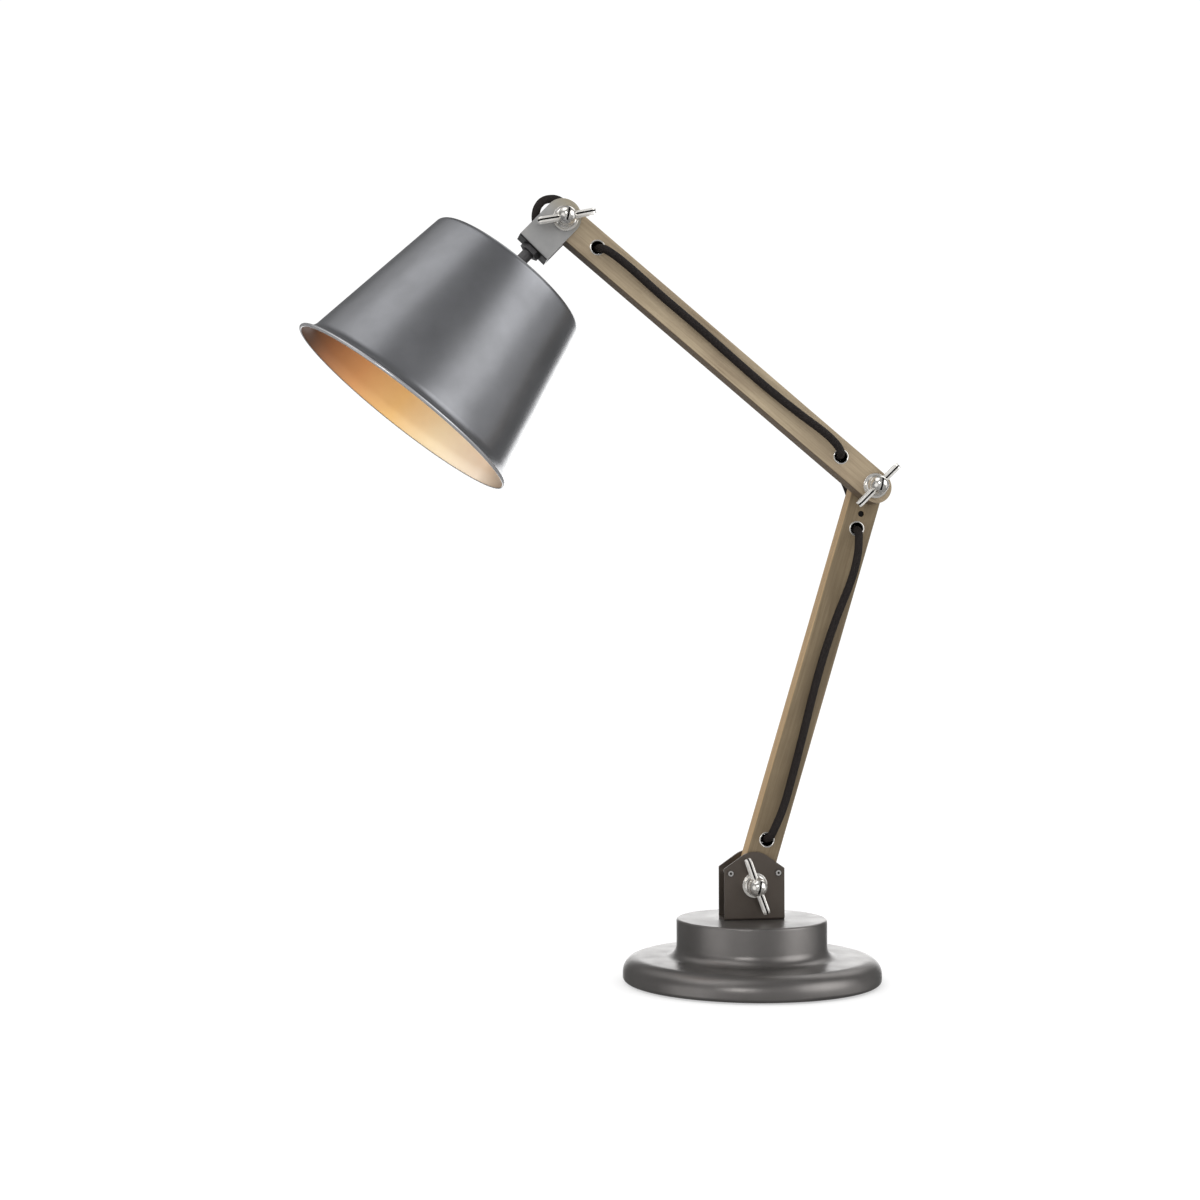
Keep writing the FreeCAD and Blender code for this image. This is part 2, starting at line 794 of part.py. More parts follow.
def wing_nut(name, pivot, back, angle):
    """Cast wing nut with a ball for a hub and a blind bore.

    angle is how its wings point, anticlockwise from +X seen from the front.
    """
    turn = FRONT.multiply(Rotation(Vector(0, 0, 1), angle))
    body = new_body(name, moved(Placement(pivot.Base, Rotation()), y=back, turn=turn))
    bore = "bolt_radius + running_gap"
    extrude(body, "XZ_Plane", [
        ("wing_reach", "wing_tip_low"),
        ("wing_reach", "wing_tip_high"),
        ("nut_neck_radius", "wing_high"),
        ("-nut_neck_radius", "wing_high"),
        ("-wing_reach", "wing_tip_high"),
        ("-wing_reach", "wing_tip_low"),
        ("-nut_neck_radius", "wing_low"),
        ("nut_neck_radius", "wing_low"),
    ], "wing_thick")
    tip = value("wing_reach") - 1e-3
    round_edges(body, "wing_round", lambda edge: abs(edge.BoundBox.Center.x) > tip)
    drop = "(nut_ball_radius ^ 2 - nut_neck_radius ^ 2) ^ 0.5"
    revolve(body, [
        ("0", "0"),
        ("nut_foot_radius", "0"),
        ("nut_foot_radius", "nut_foot_height"),
        ("nut_neck_radius", "nut_foot_height + wing_low * 0.5"),
        ("nut_neck_radius", f"nut_height - nut_ball_radius - {drop}", "nut_ball_radius", -1),
        ("0", "nut_height"),
    ])
    blind = "nut_height - nut_sunk + nut_bore_spare"
    revolve(body, [
        ("0", "0"),
        (bore, "0"),
        (bore, blind),
        ("0", blind),
    ], "Groove")
    return keep(body)


# ---- arms -------------------------------------------------------------------------------------


def arm_bar(name, frame, length, far_reach, bores):
    """Flat wooden bar with round ends, drilled for its pivots and cable holes."""
    half = "arm_width * 0.5"
    low = f"arm_width * 0.5 - arm_reach"
    high = f"{length} + {far_reach} - arm_width * 0.5"
    body = new_body(name, frame)
    extrude(body, "XZ_Plane", [
        (half, low),
        (half, high, half, -1),
        ("0", f"{high} + {half}", half, -1),
        (f"-({half})", high),
        (f"-({half})", low, half, -1),
        ("0", "-arm_reach", half, -1),
    ], "arm_thick")
    face = value("arm_thick") / 2 - 1e-3
    round_edges(body, "arm_edge_round", lambda edge: abs(edge.BoundBox.Center.y) > face)
    for height, radius in bores:
        cut_through(body, "XZ_Plane", circle, "0", height, radius)
    return body


def eyelets(name, frame, heights):
    """Plated eyelets that line the two cable holes of an arm."""
    whole = "arm_thick + eyelet_flange_thick * 2"
    back = value("arm_thick * 0.5 + eyelet_flange_thick")
    pair = []
    for number, height in enumerate(heights, start=1):
        spot = moved(frame, y=back, z=value(height), turn=FRONT)
        pair.append(turned(f"{name}_{number}", spot, [
            ("eyelet_bore_radius", "0"),
            ("eyelet_flange_radius", "0"),
            ("eyelet_flange_radius", "eyelet_flange_thick"),
            ("eyelet_barrel_radius", "eyelet_flange_thick"),
            ("eyelet_barrel_radius", f"{whole} - eyelet_flange_thick"),
            ("eyelet_flange_radius", f"{whole} - eyelet_flange_thick"),
            ("eyelet_flange_radius", whole),
            ("eyelet_bore_radius", whole),
        ]))
    group(name, pair)


def lower_arm(frame):
    """Arm between the base's ears and the elbow, with its small stop screw."""
    running = "bolt_radius + running_gap"
    holes = ("lower_hole_low", "lower_length - lower_hole_high")
    body = arm_bar("lower_arm_bar", frame, "lower_length", "arm_reach", [
        ("0", running),
        ("lower_length", "bolt_radius"),
        (holes[0], "eyelet_barrel_radius"),
        (holes[1], "eyelet_barrel_radius"),
    ])
    drill = new_sketch(body, "XZ_Plane")
    drill.AttachmentOffset = Placement(Vector(0, 0, value("arm_thick") / 2), Rotation())
    circle(drill, "0", "lower_length - stop_screw_inset", "stop_screw_radius")
    pocket = body.newObject("PartDesign::Pocket", "stop_screw_hole")
    pocket.Profile = drill
    pocket.setExpression("Length", "Dims.stop_screw_depth")
    document.recompute()
    keep(body)
    eyelets("lower_arm_eyelets", frame, holes)
    depth = value("arm_thick") / 2 - value("stop_screw_sunk")
    height = value("lower_length - stop_screw_inset")
    screw = moved(frame, y=-depth, z=height, turn=Rotation(Vector(1, 0, 0), -90))
    length = "stop_screw_depth - stop_screw_sunk"
    keep(turned("elbow_stop_screw", screw, [
        ("0", "0"),
        ("stop_screw_radius", "0"),
        ("stop_screw_radius", length),
        ("0", length),
    ]))


def upper_arm(frame):
    """Arm from the elbow to the head joint."""
    running = "bolt_radius + running_gap"
    holes = ("upper_hole_low", "upper_length - upper_hole_high")
    keep(arm_bar("upper_arm_bar", frame, "upper_length", "head_end_reach", [
        ("0", running),
        ("upper_length", running),
        (holes[0], "eyelet_barrel_radius"),
        (holes[1], "eyelet_barrel_radius"),
    ]))
    eyelets("upper_arm_eyelets", frame, holes)


# ---- head -------------------------------------------------------------------------------------


def head_bracket(frame):
    """Folded clevis over the upper arm's end; its own +Z runs down the stem.

    Its pivot holes are a little to one side of the stem's line.
    """
    inner = "arm_thick * 0.5 + friction_thick"
    body = new_body("head_bracket", frame)
    extrude(body, "XZ_Plane", [
        ("head_half_width", "0"),
        ("head_half_width", "head_depth"),
        ("-head_half_width", "head_depth"),
        ("-head_half_width", "0", "head_half_width", -1),
        ("0", "-head_half_width", "head_half_width", -1),
    ], f"({inner} + sheet_thick) * 2")
    round_edges(body, "sheet_thick", lambda edge: (
        edge.BoundBox.ZMin > value("head_depth") - 1e-3
        and edge.BoundBox.XLength > value("head_half_width")
    ))
    cut_through(body, "YZ_Plane", outline, [
        (inner, "-head_depth"),
        (inner, "head_depth - sheet_thick"),
        (f"-({inner})", "head_depth - sheet_thick"),
        (f"-({inner})", "-head_depth"),
    ])
    cut_through(body, "XZ_Plane", circle, "-head_offset", "0", "bolt_radius")
    cut_through(body, "XY_Plane", circle, "0", "0", "stem_radius")
    return keep(body)


def stem_points():
    """Middle line of the hollow stem in the head frame, bent a little above the shade."""
    angle = math.radians(value("shade_angle - stem_angle"))
    corner = Vector(0, 0, value("stem_bend"))
    heading = Vector(-math.sin(angle), 0, math.cos(angle))
    reach = value("shade_drop + insert_start")
    return Vector(0, 0, value("stem_top")), corner, corner + heading * reach


def stem_wire():
    """Straight, short bend, straight."""
    start, corner, end = stem_points()
    up = (start - corner).normalize()
    down = (end - corner).normalize()
    turn = math.pi - up.getAngle(down)
    setback = value("stem_bend_round") * math.tan(turn / 2)
    first = corner + up * setback
    last = corner + down * setback
    inward = ((first + last) * 0.5 - corner).normalize()
    rise = value("stem_bend_round") * (1 / math.cos(turn / 2) - 1)
    bend = Part.Arc(first, corner + inward * rise, last).toShape()
    straight = Part.LineSegment(start, first).toShape()
    final = Part.LineSegment(last, end).toShape()
    return Part.Wire([straight, bend, final])


def stem(frame):
    """Hollow threaded stem, the cable inside it, and its two nuts on the clevis."""
    wire = stem_wire()
    tube = swept(wire, value("stem_radius")).cut(swept(wire, value("stem_bore")))
    feature = document.addObject("Part::Feature", "stem_tube")
    feature.Label = "stem_tube"
    feature.Shape = tube
    feature.Placement = frame
    keep(feature)
    core = document.addObject("Part::Feature", "cable_in_stem")
    core.Label = "cable_in_stem"
    core.Shape = swept(wire, value("cable_radius"))
    core.Placement = frame
    keep(core)
    above = moved(frame, z=value("head_depth - sheet_thick - stem_nut_height"))
    size = ("stem_nut_flats", "stem_radius", "stem_nut_height")
    keep(hex_nut("stem_top_nut", above, *size))
    below = moved(frame, z=value("head_depth"))
    keep(hex_nut("stem_lock_nut", below, "nut_flats_large", "stem_radius", "lock_nut_height"))


def shade(frame):
    """Spun conical shade with a flat top, a rounded shoulder and a flared lip."""
    keep(turned("shade", frame, [
        ("stem_radius", "0"),
        ("shade_flat", "0", "shade_shoulder_round", -1),
        ("shade_shoulder_radius", "shade_shoulder_depth"),
        ("flare_radius", "flare_start", "flare_round", 1),
        ("lip_radius", "shade_height - shade_wall"),
        ("rim_radius", "shade_height - shade_wall * 0.5"),
        ("lip_radius", "shade_height", "flare_round + shade_wall", -1),
        ("flare_radius - shade_wall", "flare_start + shade_wall * 0.2"),
        (
            "shade_shoulder_radius - shade_wall", "shade_shoulder_depth",
            "shade_shoulder_round - shade_wall", 1,
        ),
        ("shade_flat", "shade_wall"),
        ("stem_radius", "shade_wall"),
    ]))


def lampholder(frame):
    """Small screw-cap holder that clamps the shade from inside, with its contacts."""
    keep(turned("lampholder_body", frame, [
        ("stem_radius", "shade_wall"),
        ("holder_radius", "shade_wall"),
        ("holder_radius", "holder_end - holder_round", "holder_round", -1),
        ("holder_radius - holder_round", "holder_end"),
        ("holder_bore", "holder_end"),
        ("holder_bore", "holder_cell_end"),
        ("holder_cell_radius", "holder_cell_end"),
        ("holder_cell_radius", "shade_wall + holder_wall"),
        ("stem_radius", "shade_wall + holder_wall"),
    ]))
    insert = "holder_cell_radius - fit_gap"
    keep(turned("lampholder_insert", frame, [
        ("0", "insert_start"),
        (insert, "insert_start"),
        (insert, "holder_cell_end"),
        ("0", "holder_cell_end"),
    ]))
    keep(turned("lampholder_sleeve", frame, [
        ("sleeve_inner", "holder_cell_end"),
        ("holder_bore - running_gap", "holder_cell_end"),
        ("holder_bore - running_gap", "sleeve_end"),
        ("sleeve_inner", "sleeve_end"),
    ]))
    keep(turned("centre_contact", frame, [
        ("0", "holder_cell_end"),
        ("contact_radius", "holder_cell_end"),
        ("contact_radius", "bulb_tip"),
        ("0", "bulb_tip"),
    ]))


def bulb(frame):
    """Small round bulb: screw cap and hollow glass."""
    keep(turned("bulb_cap", frame, [
        ("0", "bulb_tip"),
        ("bulb_tip_radius", "bulb_tip"),
        ("bulb_cap_radius", "bulb_cap_start"),
        ("bulb_cap_radius", "bulb_neck - shade_wall"),
        ("bulb_neck_radius", "bulb_neck"),
        ("0", "bulb_neck"),
    ]))
    drop = "(bulb_ball_radius ^ 2 - bulb_ball_side ^ 2) ^ 0.5"
    centre = "(bulb_end - bulb_ball_radius)"
    shrink = "(bulb_ball_radius - glass_wall) / bulb_ball_radius"
    keep(turned("bulb_glass", frame, [
        ("bulb_neck_radius - glass_wall", "bulb_neck"),
        ("bulb_neck_radius", "bulb_neck"),
        ("bulb_ball_side", f"{centre} - {drop}", "bulb_ball_radius", -1),
        ("0", "bulb_end"),
        ("0", "bulb_end - glass_wall", "bulb_ball_radius - glass_wall", 1),
        (f"bulb_ball_side * {shrink}", f"{centre} - {drop} * {shrink}"),
    ]))


# ---- the whole lamp ---------------------------------------------------------------------------


def make_base():
    base_shell()
    ballast_weight()
    base_plate()
    base_plate_screws()
    foot_pad()
    base_bracket()
    centre_bolt()
    bracket_screws()
    stop_pins()
    base_grommet()
    mains_inlet_bush()
    terminal_block()


def make_joints(base, elbow, head):
    """Bolts, washers and wing nuts of the three pivots, from the back to the front."""
    washer = value("washer_thick")
    ear = value("arm_thick * 0.5 + friction_thick + sheet_thick")
    half = value("arm_thick * 0.5")
    middle = value("arm_thick + arm_gap")
    ear_grip = "arm_thick + friction_thick * 2 + sheet_thick * 2 + washer_thick"

    pivot_bolt("base_pivot_bolt", base, ear, ear_grip)
    plain_washer("base_front_washer", base, -ear)
    wing_nut("base_wing_nut", base, -ear - washer, 110)
    group("base_friction_washers", [
        friction_washer("base_friction_washer_1", base, value("arm_thick * 0.5 + friction_thick")),
        friction_washer("base_friction_washer_2", base, -half),
    ])

    pivot_bolt("elbow_bolt", elbow, half + washer, "arm_thick * 2 + arm_gap + washer_thick * 2")
    plain_washer("elbow_rear_washer", elbow, half + washer)
    keep(friction_washer("elbow_friction_washer", elbow, -half, "arm_gap"))
    plain_washer("elbow_front_washer", elbow, -middle - half)
    wing_nut("elbow_wing_nut", elbow, -middle - half - washer, 44.5)

    pivot_bolt("head_pivot_bolt", head, ear, ear_grip)
    plain_washer("head_front_washer", head, -ear)
    wing_nut("head_wing_nut", head, -ear - washer, 12)
    group("head_friction_washers", [
        friction_washer("head_friction_washer_1", head, value("arm_thick * 0.5 + friction_thick")),
        friction_washer("head_friction_washer_2", head, -half),
    ])


def make_cables(lower, elbow, upper, pivot, head):
    """One cable from the base to the head: along both arms' fronts and past each joint."""
    half = value("arm_thick * 0.5")
    low = value("lower_hole_low")
    top = value("lower_length - lower_hole_high")
    near = value("upper_hole_low")
    far = value("upper_length - upper_hole_high")
    grommet = Vector(value("grommet_x"), value("grommet_y"), value("drum_top"))
    block_side = value("block_x + block_width")
    block_middle = value("disc_top - shell_wall - fit_gap + block_height * 0.5")

    # From the terminal block up into the grommet.
    cable("cable_in_base", [
        Vector(block_side, 6.5, block_middle),
        Vector(block_side + 6, 6.5, block_middle),
        Vector(2.5, 17.0, 27.5),
        grommet + Vector(0, 0, -8),
        grommet + Vector(0, 0, 2),
    ])
    # Behind the bracket to the lower arm's low hole.
    cable("cable_base_loop", [
        grommet + Vector(0, 0, 2),
        grommet + Vector(0, 0, 10),
        grommet + Vector(0.8, 2.4, 21),
        grommet + Vector(1.8, -1.0, 36),
        grommet + Vector(3.0, -8.0, 48),
        lower.multVec(Vector(0, 14, low)),
        lower.multVec(Vector(0, half, low)),
    ])
    # Up the lower arm's front, in its own frame: X across the arm, Z along it.
    cable("cable_lower_arm", along(lower, [
        (0, half, low),
        (0, -11.5, low),
        (1.0, -14.5, 41),
        (3.4, -13.4, 57),
        (3.7, -11.6, 78),
        (2.9, -11.0, 110),
        (1.5, -10.8, 142),
        (1.2, -11.0, 172),
        (2.6, -12.4, 200),
        (4.6, -15.4, 224),
        (3.4, -17.2, 241),
        (0.8, -16.2, 253),
        (0, -11.5, top),
        (0, half, top),
    ]))
    # Behind the elbow, in axes through its pivot.
    cable("cable_elbow_loop", [
        lower.multVec(Vector(0, half, top)),
        lower.multVec(Vector(0, 14, top)),
        *along(elbow, [
            (-5.8, 18.0, -19.5),
            (-4.6, 19.0, -6.0),
            (-11.4, 16.4, 9.0),
            (-21.5, 3.4, 15.5),
        ]),
        upper.multVec(Vector(0, half + 6.5, near)),
        upper.multVec(Vector(0, half, near)),
    ])
    # Along the upper arm's front.
    cable("cable_upper_arm", along(upper, [
        (0, half, near),
        (0, -11.5, near),
        (2.6, -14.5, 39.5),
        (3.7, -14.0, 52),
        (2.4, -12.0, 74),
        (1.6, -10.8, 104),
        (1.9, -11.0, 136),
        (2.7, -10.8, 168),
        (2.2, -11.4, 200),
        (2.6, -13.2, 226),
        (1.6, -14.8, 244.5),
        (0, -11.5, far),
        (0, half, far),
    ]))
    # Round behind the head joint and into the stem, in axes through the joint's pivot.
    above_mouth = value("stem_top") - 8.0
    cable("cable_head_loop", [
        upper.multVec(Vector(0, half, far)),
        upper.multVec(Vector(0, half + 6.5, far)),
        *along(pivot, [
            (16.8, 16.0, -5.6),
            (10.2, 15.6, 8.2),
            (-0.5, 13.6, 19.4),
            (-11.8, 10.0, 17.8),
            (-17.4, 5.4, 11.4),
            (-19.6, 1.4, 2.6),
            (-17.8, 0.2, -4.8),
        ]),
        head.multVec(Vector(0, 0, above_mouth)),
        head.multVec(Vector(0, 0, value("stem_top"))),
    ])


def main():
    fill_sheet()
    pivot = Vector(0, 0, value("pivot_height"))
    upright = Placement(pivot, Rotation())
    lower = about_y(value("lower_lean"), pivot)
    elbow_point = lower.multVec(Vector(0, 0, value("lower_length")))
    elbow = Placement(elbow_point, Rotation())
    front_row = elbow_point + Vector(0, -value("arm_thick + arm_gap"), 0)
    upper = about_y(value("upper_lift") - 90, front_row)
    head_point = upper.multVec(Vector(0, 0, value("upper_length")))
    head_pivot = Placement(head_point, Rotation())
    head = moved(about_y(270 - value("stem_angle"), head_point), x=value("head_offset"))
    bend, stem_end = stem_points()[1:]
    shade_top = head.multVec(bend + (stem_end - bend).normalize() * value("shade_drop"))
    under_shade = about_y(270 - value("shade_angle"), shade_top)

    make_base()
    lower_arm(lower)
    upper_arm(upper)
    make_joints(upright, elbow, head_pivot)
    head_bracket(head)
    stem(head)
    above_shade = moved(under_shade, z=-value("stem_nut_height"))
    size = ("stem_nut_flats", "stem_radius", "stem_nut_height")
    keep(hex_nut("shade_lock_nut", above_shade, *size))
    shade(under_shade)
    lampholder(under_shade)
    bulb(under_shade)
    make_cables(lower, elbow, upper, head_pivot, head)
    write_nodes()


def write_nodes():
    """Stop on any failed object, then write one STEP file for each node."""
    document.recompute()
    for item in document.Objects:
        if "Invalid" in item.State or "Error" in item.State:
            raise RuntimeError(f"{item.Label} is {item.State}")
    os.makedirs("parts", exist_ok=True)
    for piece in nodes:
        if piece.Shape.isNull() or not piece.Shape.isValid():
            raise RuntimeError(f"{piece.Label} has no valid shape")
        piece.Shape.exportStep(f"parts/{piece.Label}.step")
    print(len(nodes), "nodes")


main()
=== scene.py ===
import json
import math

import bmesh
import bpy
from mathutils import Matrix, Vector


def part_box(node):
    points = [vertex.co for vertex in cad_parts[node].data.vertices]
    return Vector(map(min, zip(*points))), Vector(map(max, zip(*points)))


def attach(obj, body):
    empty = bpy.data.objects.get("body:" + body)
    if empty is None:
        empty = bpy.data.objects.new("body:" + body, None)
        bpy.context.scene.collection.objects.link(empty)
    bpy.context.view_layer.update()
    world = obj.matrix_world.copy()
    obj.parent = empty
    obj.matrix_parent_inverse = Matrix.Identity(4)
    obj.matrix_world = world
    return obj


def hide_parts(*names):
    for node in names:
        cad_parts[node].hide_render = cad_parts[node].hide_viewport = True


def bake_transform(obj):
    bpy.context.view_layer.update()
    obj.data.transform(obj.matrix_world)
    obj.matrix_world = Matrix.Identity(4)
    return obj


# Looks of an architect desk lamp, in metres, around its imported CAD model. The lamp leans and
# reaches in the XZ plane and its front, where the wing nuts are, faces -Y.

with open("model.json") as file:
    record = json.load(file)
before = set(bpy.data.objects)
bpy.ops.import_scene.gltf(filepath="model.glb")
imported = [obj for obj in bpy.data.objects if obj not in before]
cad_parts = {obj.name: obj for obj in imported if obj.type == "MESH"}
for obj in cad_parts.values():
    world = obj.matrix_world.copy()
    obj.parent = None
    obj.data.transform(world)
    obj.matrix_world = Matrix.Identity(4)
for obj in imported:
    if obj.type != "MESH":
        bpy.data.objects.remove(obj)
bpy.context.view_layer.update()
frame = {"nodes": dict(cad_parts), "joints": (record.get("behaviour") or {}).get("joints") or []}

JOINTS = {joint["name"]: joint for joint in frame["joints"]}
BASE_PIVOT = Vector(JOINTS["base_tilt"]["pos_m"])
ELBOW_PIVOT = Vector(JOINTS["elbow"]["pos_m"])
HEAD_PIVOT = Vector(JOINTS["head_tilt"]["pos_m"])
FRONT = Vector((0, -1, 0))
BACK = Vector((0, 1, 0))
UP = Vector((0, 0, 1))

# Sizes that the CAD model shares.
ARM_HALF = 0.007
HEAD_OFFSET = 0.002
STEM_LEAN = math.radians(46.5)
SHADE_LEAN = math.radians(52.4)
STEM_BEND = 0.0477
SHADE_DROP = 0.0055
STEM_MOUTH = 0.0254
LOWER_HOLES = (0.0324, 0.2601)
UPPER_HOLES = (0.0318, 0.2541)
GROMMET = Vector((0.006, 0.030, 0.044))
CABLE_RADIUS = 0.0028
HOLE_LEAD = 0.0115
WASHER_SOFTNESS = 0.00035
BOLT_RADIUS = 0.004
CLEAR_BORE = 0.0041
NUT_BALL = 0.0063
NUT_NECK = 0.0056
NUT_BLIND = 0.0046
NUT_SLOT = 0.0013
SEAT_GAP = 0.00004
EYELET_BORE = 0.0044
EYELET_FLANGE = 0.0055
EYELET_THROAT = 0.0032
ROLL = 0.0004

# Wing nut directions, anticlockwise from +X seen from the front.
WING_ANGLES = {"base": 110, "elbow": 44.5, "head": 12}


# ---- places ------------------------------------------------------------------------------------


def place(origin, along, side=BACK):
    """Matrix whose Z runs along a direction, with Y as near as can be to side."""
    z = Vector(along).normalized()
    x = Vector(side).cross(z).normalized()
    y = z.cross(x)
    turned = Matrix((x, y, z)).transposed().to_4x4()
    return Matrix.Translation(origin) @ turned


def heading(angle):
    """Direction in the XZ plane, down and to the left, at an angle below the horizontal."""
    return Vector((-math.cos(angle), 0, -math.sin(angle)))


LOWER = place(BASE_PIVOT, ELBOW_PIVOT - BASE_PIVOT)
UPPER_START = Vector((ELBOW_PIVOT.x, HEAD_PIVOT.y, ELBOW_PIVOT.z))
UPPER = place(UPPER_START, HEAD_PIVOT - UPPER_START)
STEM_PLACE = place(HEAD_PIVOT, heading(STEM_LEAN))
STEM = STEM_PLACE @ Matrix.Translation((HEAD_OFFSET, 0, 0))
BEND_POINT = STEM @ Vector((0, 0, STEM_BEND))
SHADE_DIRECTION = heading(SHADE_LEAN)
SHADE = place(BEND_POINT + SHADE_DIRECTION * SHADE_DROP, SHADE_DIRECTION)


def along(matrix, points):
    """Carry points from a frame to the lamp."""
    return [matrix @ Vector(point) for point in points]


# ---- camera ------------------------------------------------------------------------------------


def make_camera():
    data = bpy.data.cameras.new("camera")
    camera = bpy.data.objects.new("camera", data)
    bpy.context.scene.collection.objects.link(camera)
    camera.location = (-0.3135, -1.2588, 0.2234)
    camera.rotation_euler = (math.radians(91.905), 0, math.radians(-9.3035))
    data.sensor_width = 36
    data.lens = 55.23
    data.clip_start = 0.05
    data.clip_end = 50
    bpy.context.scene.camera = camera


make_camera()


# ---- node materials ----------------------------------------------------------------------------


def srgb(red, green, blue):
    """Linear colour from 0-255 screen values."""
    linear = []
    for part in (red, green, blue):
        share = part / 255
        linear.append(share / 12.92 if share <= 0.04045 else ((share + 0.055) / 1.055) ** 2.4)
    return (*linear, 1)


class Look:
    """A principled material and the few node helpers that build it up."""

    def __init__(self, name, color, roughness, metallic=0.0, **sockets):
        self.material = bpy.data.materials.new(name)
        self.material.use_nodes = True
        self.tree = self.material.node_tree
        self.shader = self.tree.nodes["Principled BSDF"]
        self.shader.inputs["Base Color"].default_value = color
        self.shader.inputs["Roughness"].default_value = roughness
        self.shader.inputs["Metallic"].default_value = metallic
        for socket, value in sockets.items():
            self.shader.inputs[socket.replace("_", " ")].default_value = value
        spots = self.node("ShaderNodeTexCoord")
        self.coords = spots.outputs["Object"]
        self.normals = spots.outputs["Normal"]

    def node(self, kind, **settings):
        made = self.tree.nodes.new(kind)
        for name, value in settings.items():
            setattr(made, name, value)
        return made

    def link(self, source, target):
        self.tree.links.new(source, target)

    def mapped(self, matrix, stretch=(1, 1, 1)):
        """Coordinates in a frame of the lamp, stretched along its own axes."""
        mapping = self.node("ShaderNodeMapping", vector_type="POINT")
        inverse = matrix.inverted()
        mapping.inputs["Location"].default_value = inverse.to_translation()
        mapping.inputs["Rotation"].default_value = inverse.to_euler()
        self.link(self.coords, mapping.inputs["Vector"])
        scaled = self.node("ShaderNodeVectorMath", operation="MULTIPLY")
        self.link(mapping.outputs["Vector"], scaled.inputs[0])
        scaled.inputs[1].default_value = stretch
        return scaled.outputs["Vector"]

    def noise(self, scale, detail=4.0, roughness=0.5, vector=None, distortion=0.0):
        made = self.node("ShaderNodeTexNoise")
        made.inputs["Scale"].default_value = scale
        made.inputs["Detail"].default_value = detail
        made.inputs["Roughness"].default_value = roughness
        made.inputs["Distortion"].default_value = distortion
        self.link(vector or self.coords, made.inputs["Vector"])
        return made.outputs["Fac"]

    def ramp(self, factor, stops):
        """Colour ramp; stops are (position, colour or grey)."""
        made = self.node("ShaderNodeValToRGB")
        elements = made.color_ramp.elements
        while len(elements) < len(stops):
            elements.new(0.5)
        for element, (position, color) in zip(elements, stops):
            element.position = position
            element.color = color if isinstance(color, tuple) else (color, color, color, 1)
        self.link(factor, made.inputs["Fac"])
        return made.outputs["Color"]

    def span(self, factor, low, high, from_low=0.3, from_high=0.7):
        """Factor carried from one range of numbers to another."""
        made = self.node("ShaderNodeMapRange")
        made.inputs["From Min"].default_value = from_low
        made.inputs["From Max"].default_value = from_high
        made.inputs["To Min"].default_value = low
        made.inputs["To Max"].default_value = high
        self.link(factor, made.inputs["Value"])
        return made.outputs["Result"]

    def mix(self, factor, first, second, blend="MIX"):
        made = self.node("ShaderNodeMix", data_type="RGBA", blend_type=blend)
        sockets = (made.inputs["Factor"], made.inputs[6], made.inputs[7])
        for socket, value in zip(sockets, (factor, first, second)):
            if isinstance(value, (tuple, float, int)):
                socket.default_value = value
            else:
                self.link(value, socket)
        return made.outputs[2]

    def turned_to(self, direction):
        """Factor that is 1 on faces turned to a direction of the resting lamp, and 0 elsewhere."""
        dot = self.node("ShaderNodeVectorMath", operation="DOT_PRODUCT")
        self.link(self.normals, dot.inputs[0])
        dot.inputs[1].default_value = Vector(direction).normalized()
        return self.span(dot.outputs["Value"], 0, 1, 0.45, 0.85)

    def color(self, source):
        self.link(source, self.shader.inputs["Base Color"])

    def rough(self, factor, low, high):
        self.link(self.span(factor, low, high), self.shader.inputs["Roughness"])

    def bump(self, height, distance):
        made = self.node("ShaderNodeBump")
        made.inputs["Strength"].default_value = 1.0
        made.inputs["Distance"].default_value = distance
        self.link(height, made.inputs["Height"])
        self.link(made.outputs["Normal"], self.shader.inputs["Normal"])


def satin_metal(name, color, light, roughness, metallic=0.8, grain=0.00002):
    """Plated or lacquered sheet: fine orange peel, faint clouding, uneven gloss."""
    look = Look(name, color, roughness, metallic)
    clouds = look.noise(22, 5, 0.6)
    look.color(look.ramp(clouds, [(0.3, color), (0.75, light)]))
    look.rough(look.noise(55, 4, 0.6), roughness - 0.035, roughness + 0.045)
    look.bump(look.noise(2600, 2, 0.6), grain)
    return look.material


def clevis_steel():
    """Light rolled steel, warmer at its rounded end, with painted shade: a dark colour on the faces turned
    towards the lampshade.
    """
    look = Look("clevis_steel", srgb(150, 150, 150), 0.38, 0.5)
    clouds = look.noise(60, 5, 0.6)
    light = look.ramp(clouds, [(0.3, srgb(160, 160, 160)), (0.75, srgb(176, 175, 173))])
    parts = look.node("ShaderNodeSeparateXYZ")
    look.link(look.mapped(STEM_PLACE), parts.inputs["Vector"])
    rounded_end = look.span(parts.outputs["Z"], 0.8, 0, -0.010, 0.004)
    warmed = look.mix(rounded_end, light, srgb(172, 162, 138))
    # Painted shade: faces turned towards the lampshade are mixed to a dark grey.
    painted_shade_below = look.turned_to(heading(STEM_LEAN))
    look.color(look.mix(painted_shade_below, warmed, srgb(46, 45, 45)))
    look.rough(look.noise(90, 4, 0.6), 0.34, 0.44)
    look.bump(look.noise(2400, 2, 0.6), 0.00003)
    return look.material


def polished_nickel(name, metallic):
    look = Look(name, srgb(236, 234, 228), 0.09, metallic)
    clouds = look.noise(120, 4, 0.6)
    look.color(look.ramp(clouds, [(0.3, srgb(226, 222, 215)), (0.7, srgb(245, 243, 239))]))
    look.rough(look.noise(300, 3, 0.6), 0.06, 0.15)
    look.bump(look.noise(700, 3, 0.5), 0.00004)
    return look.material


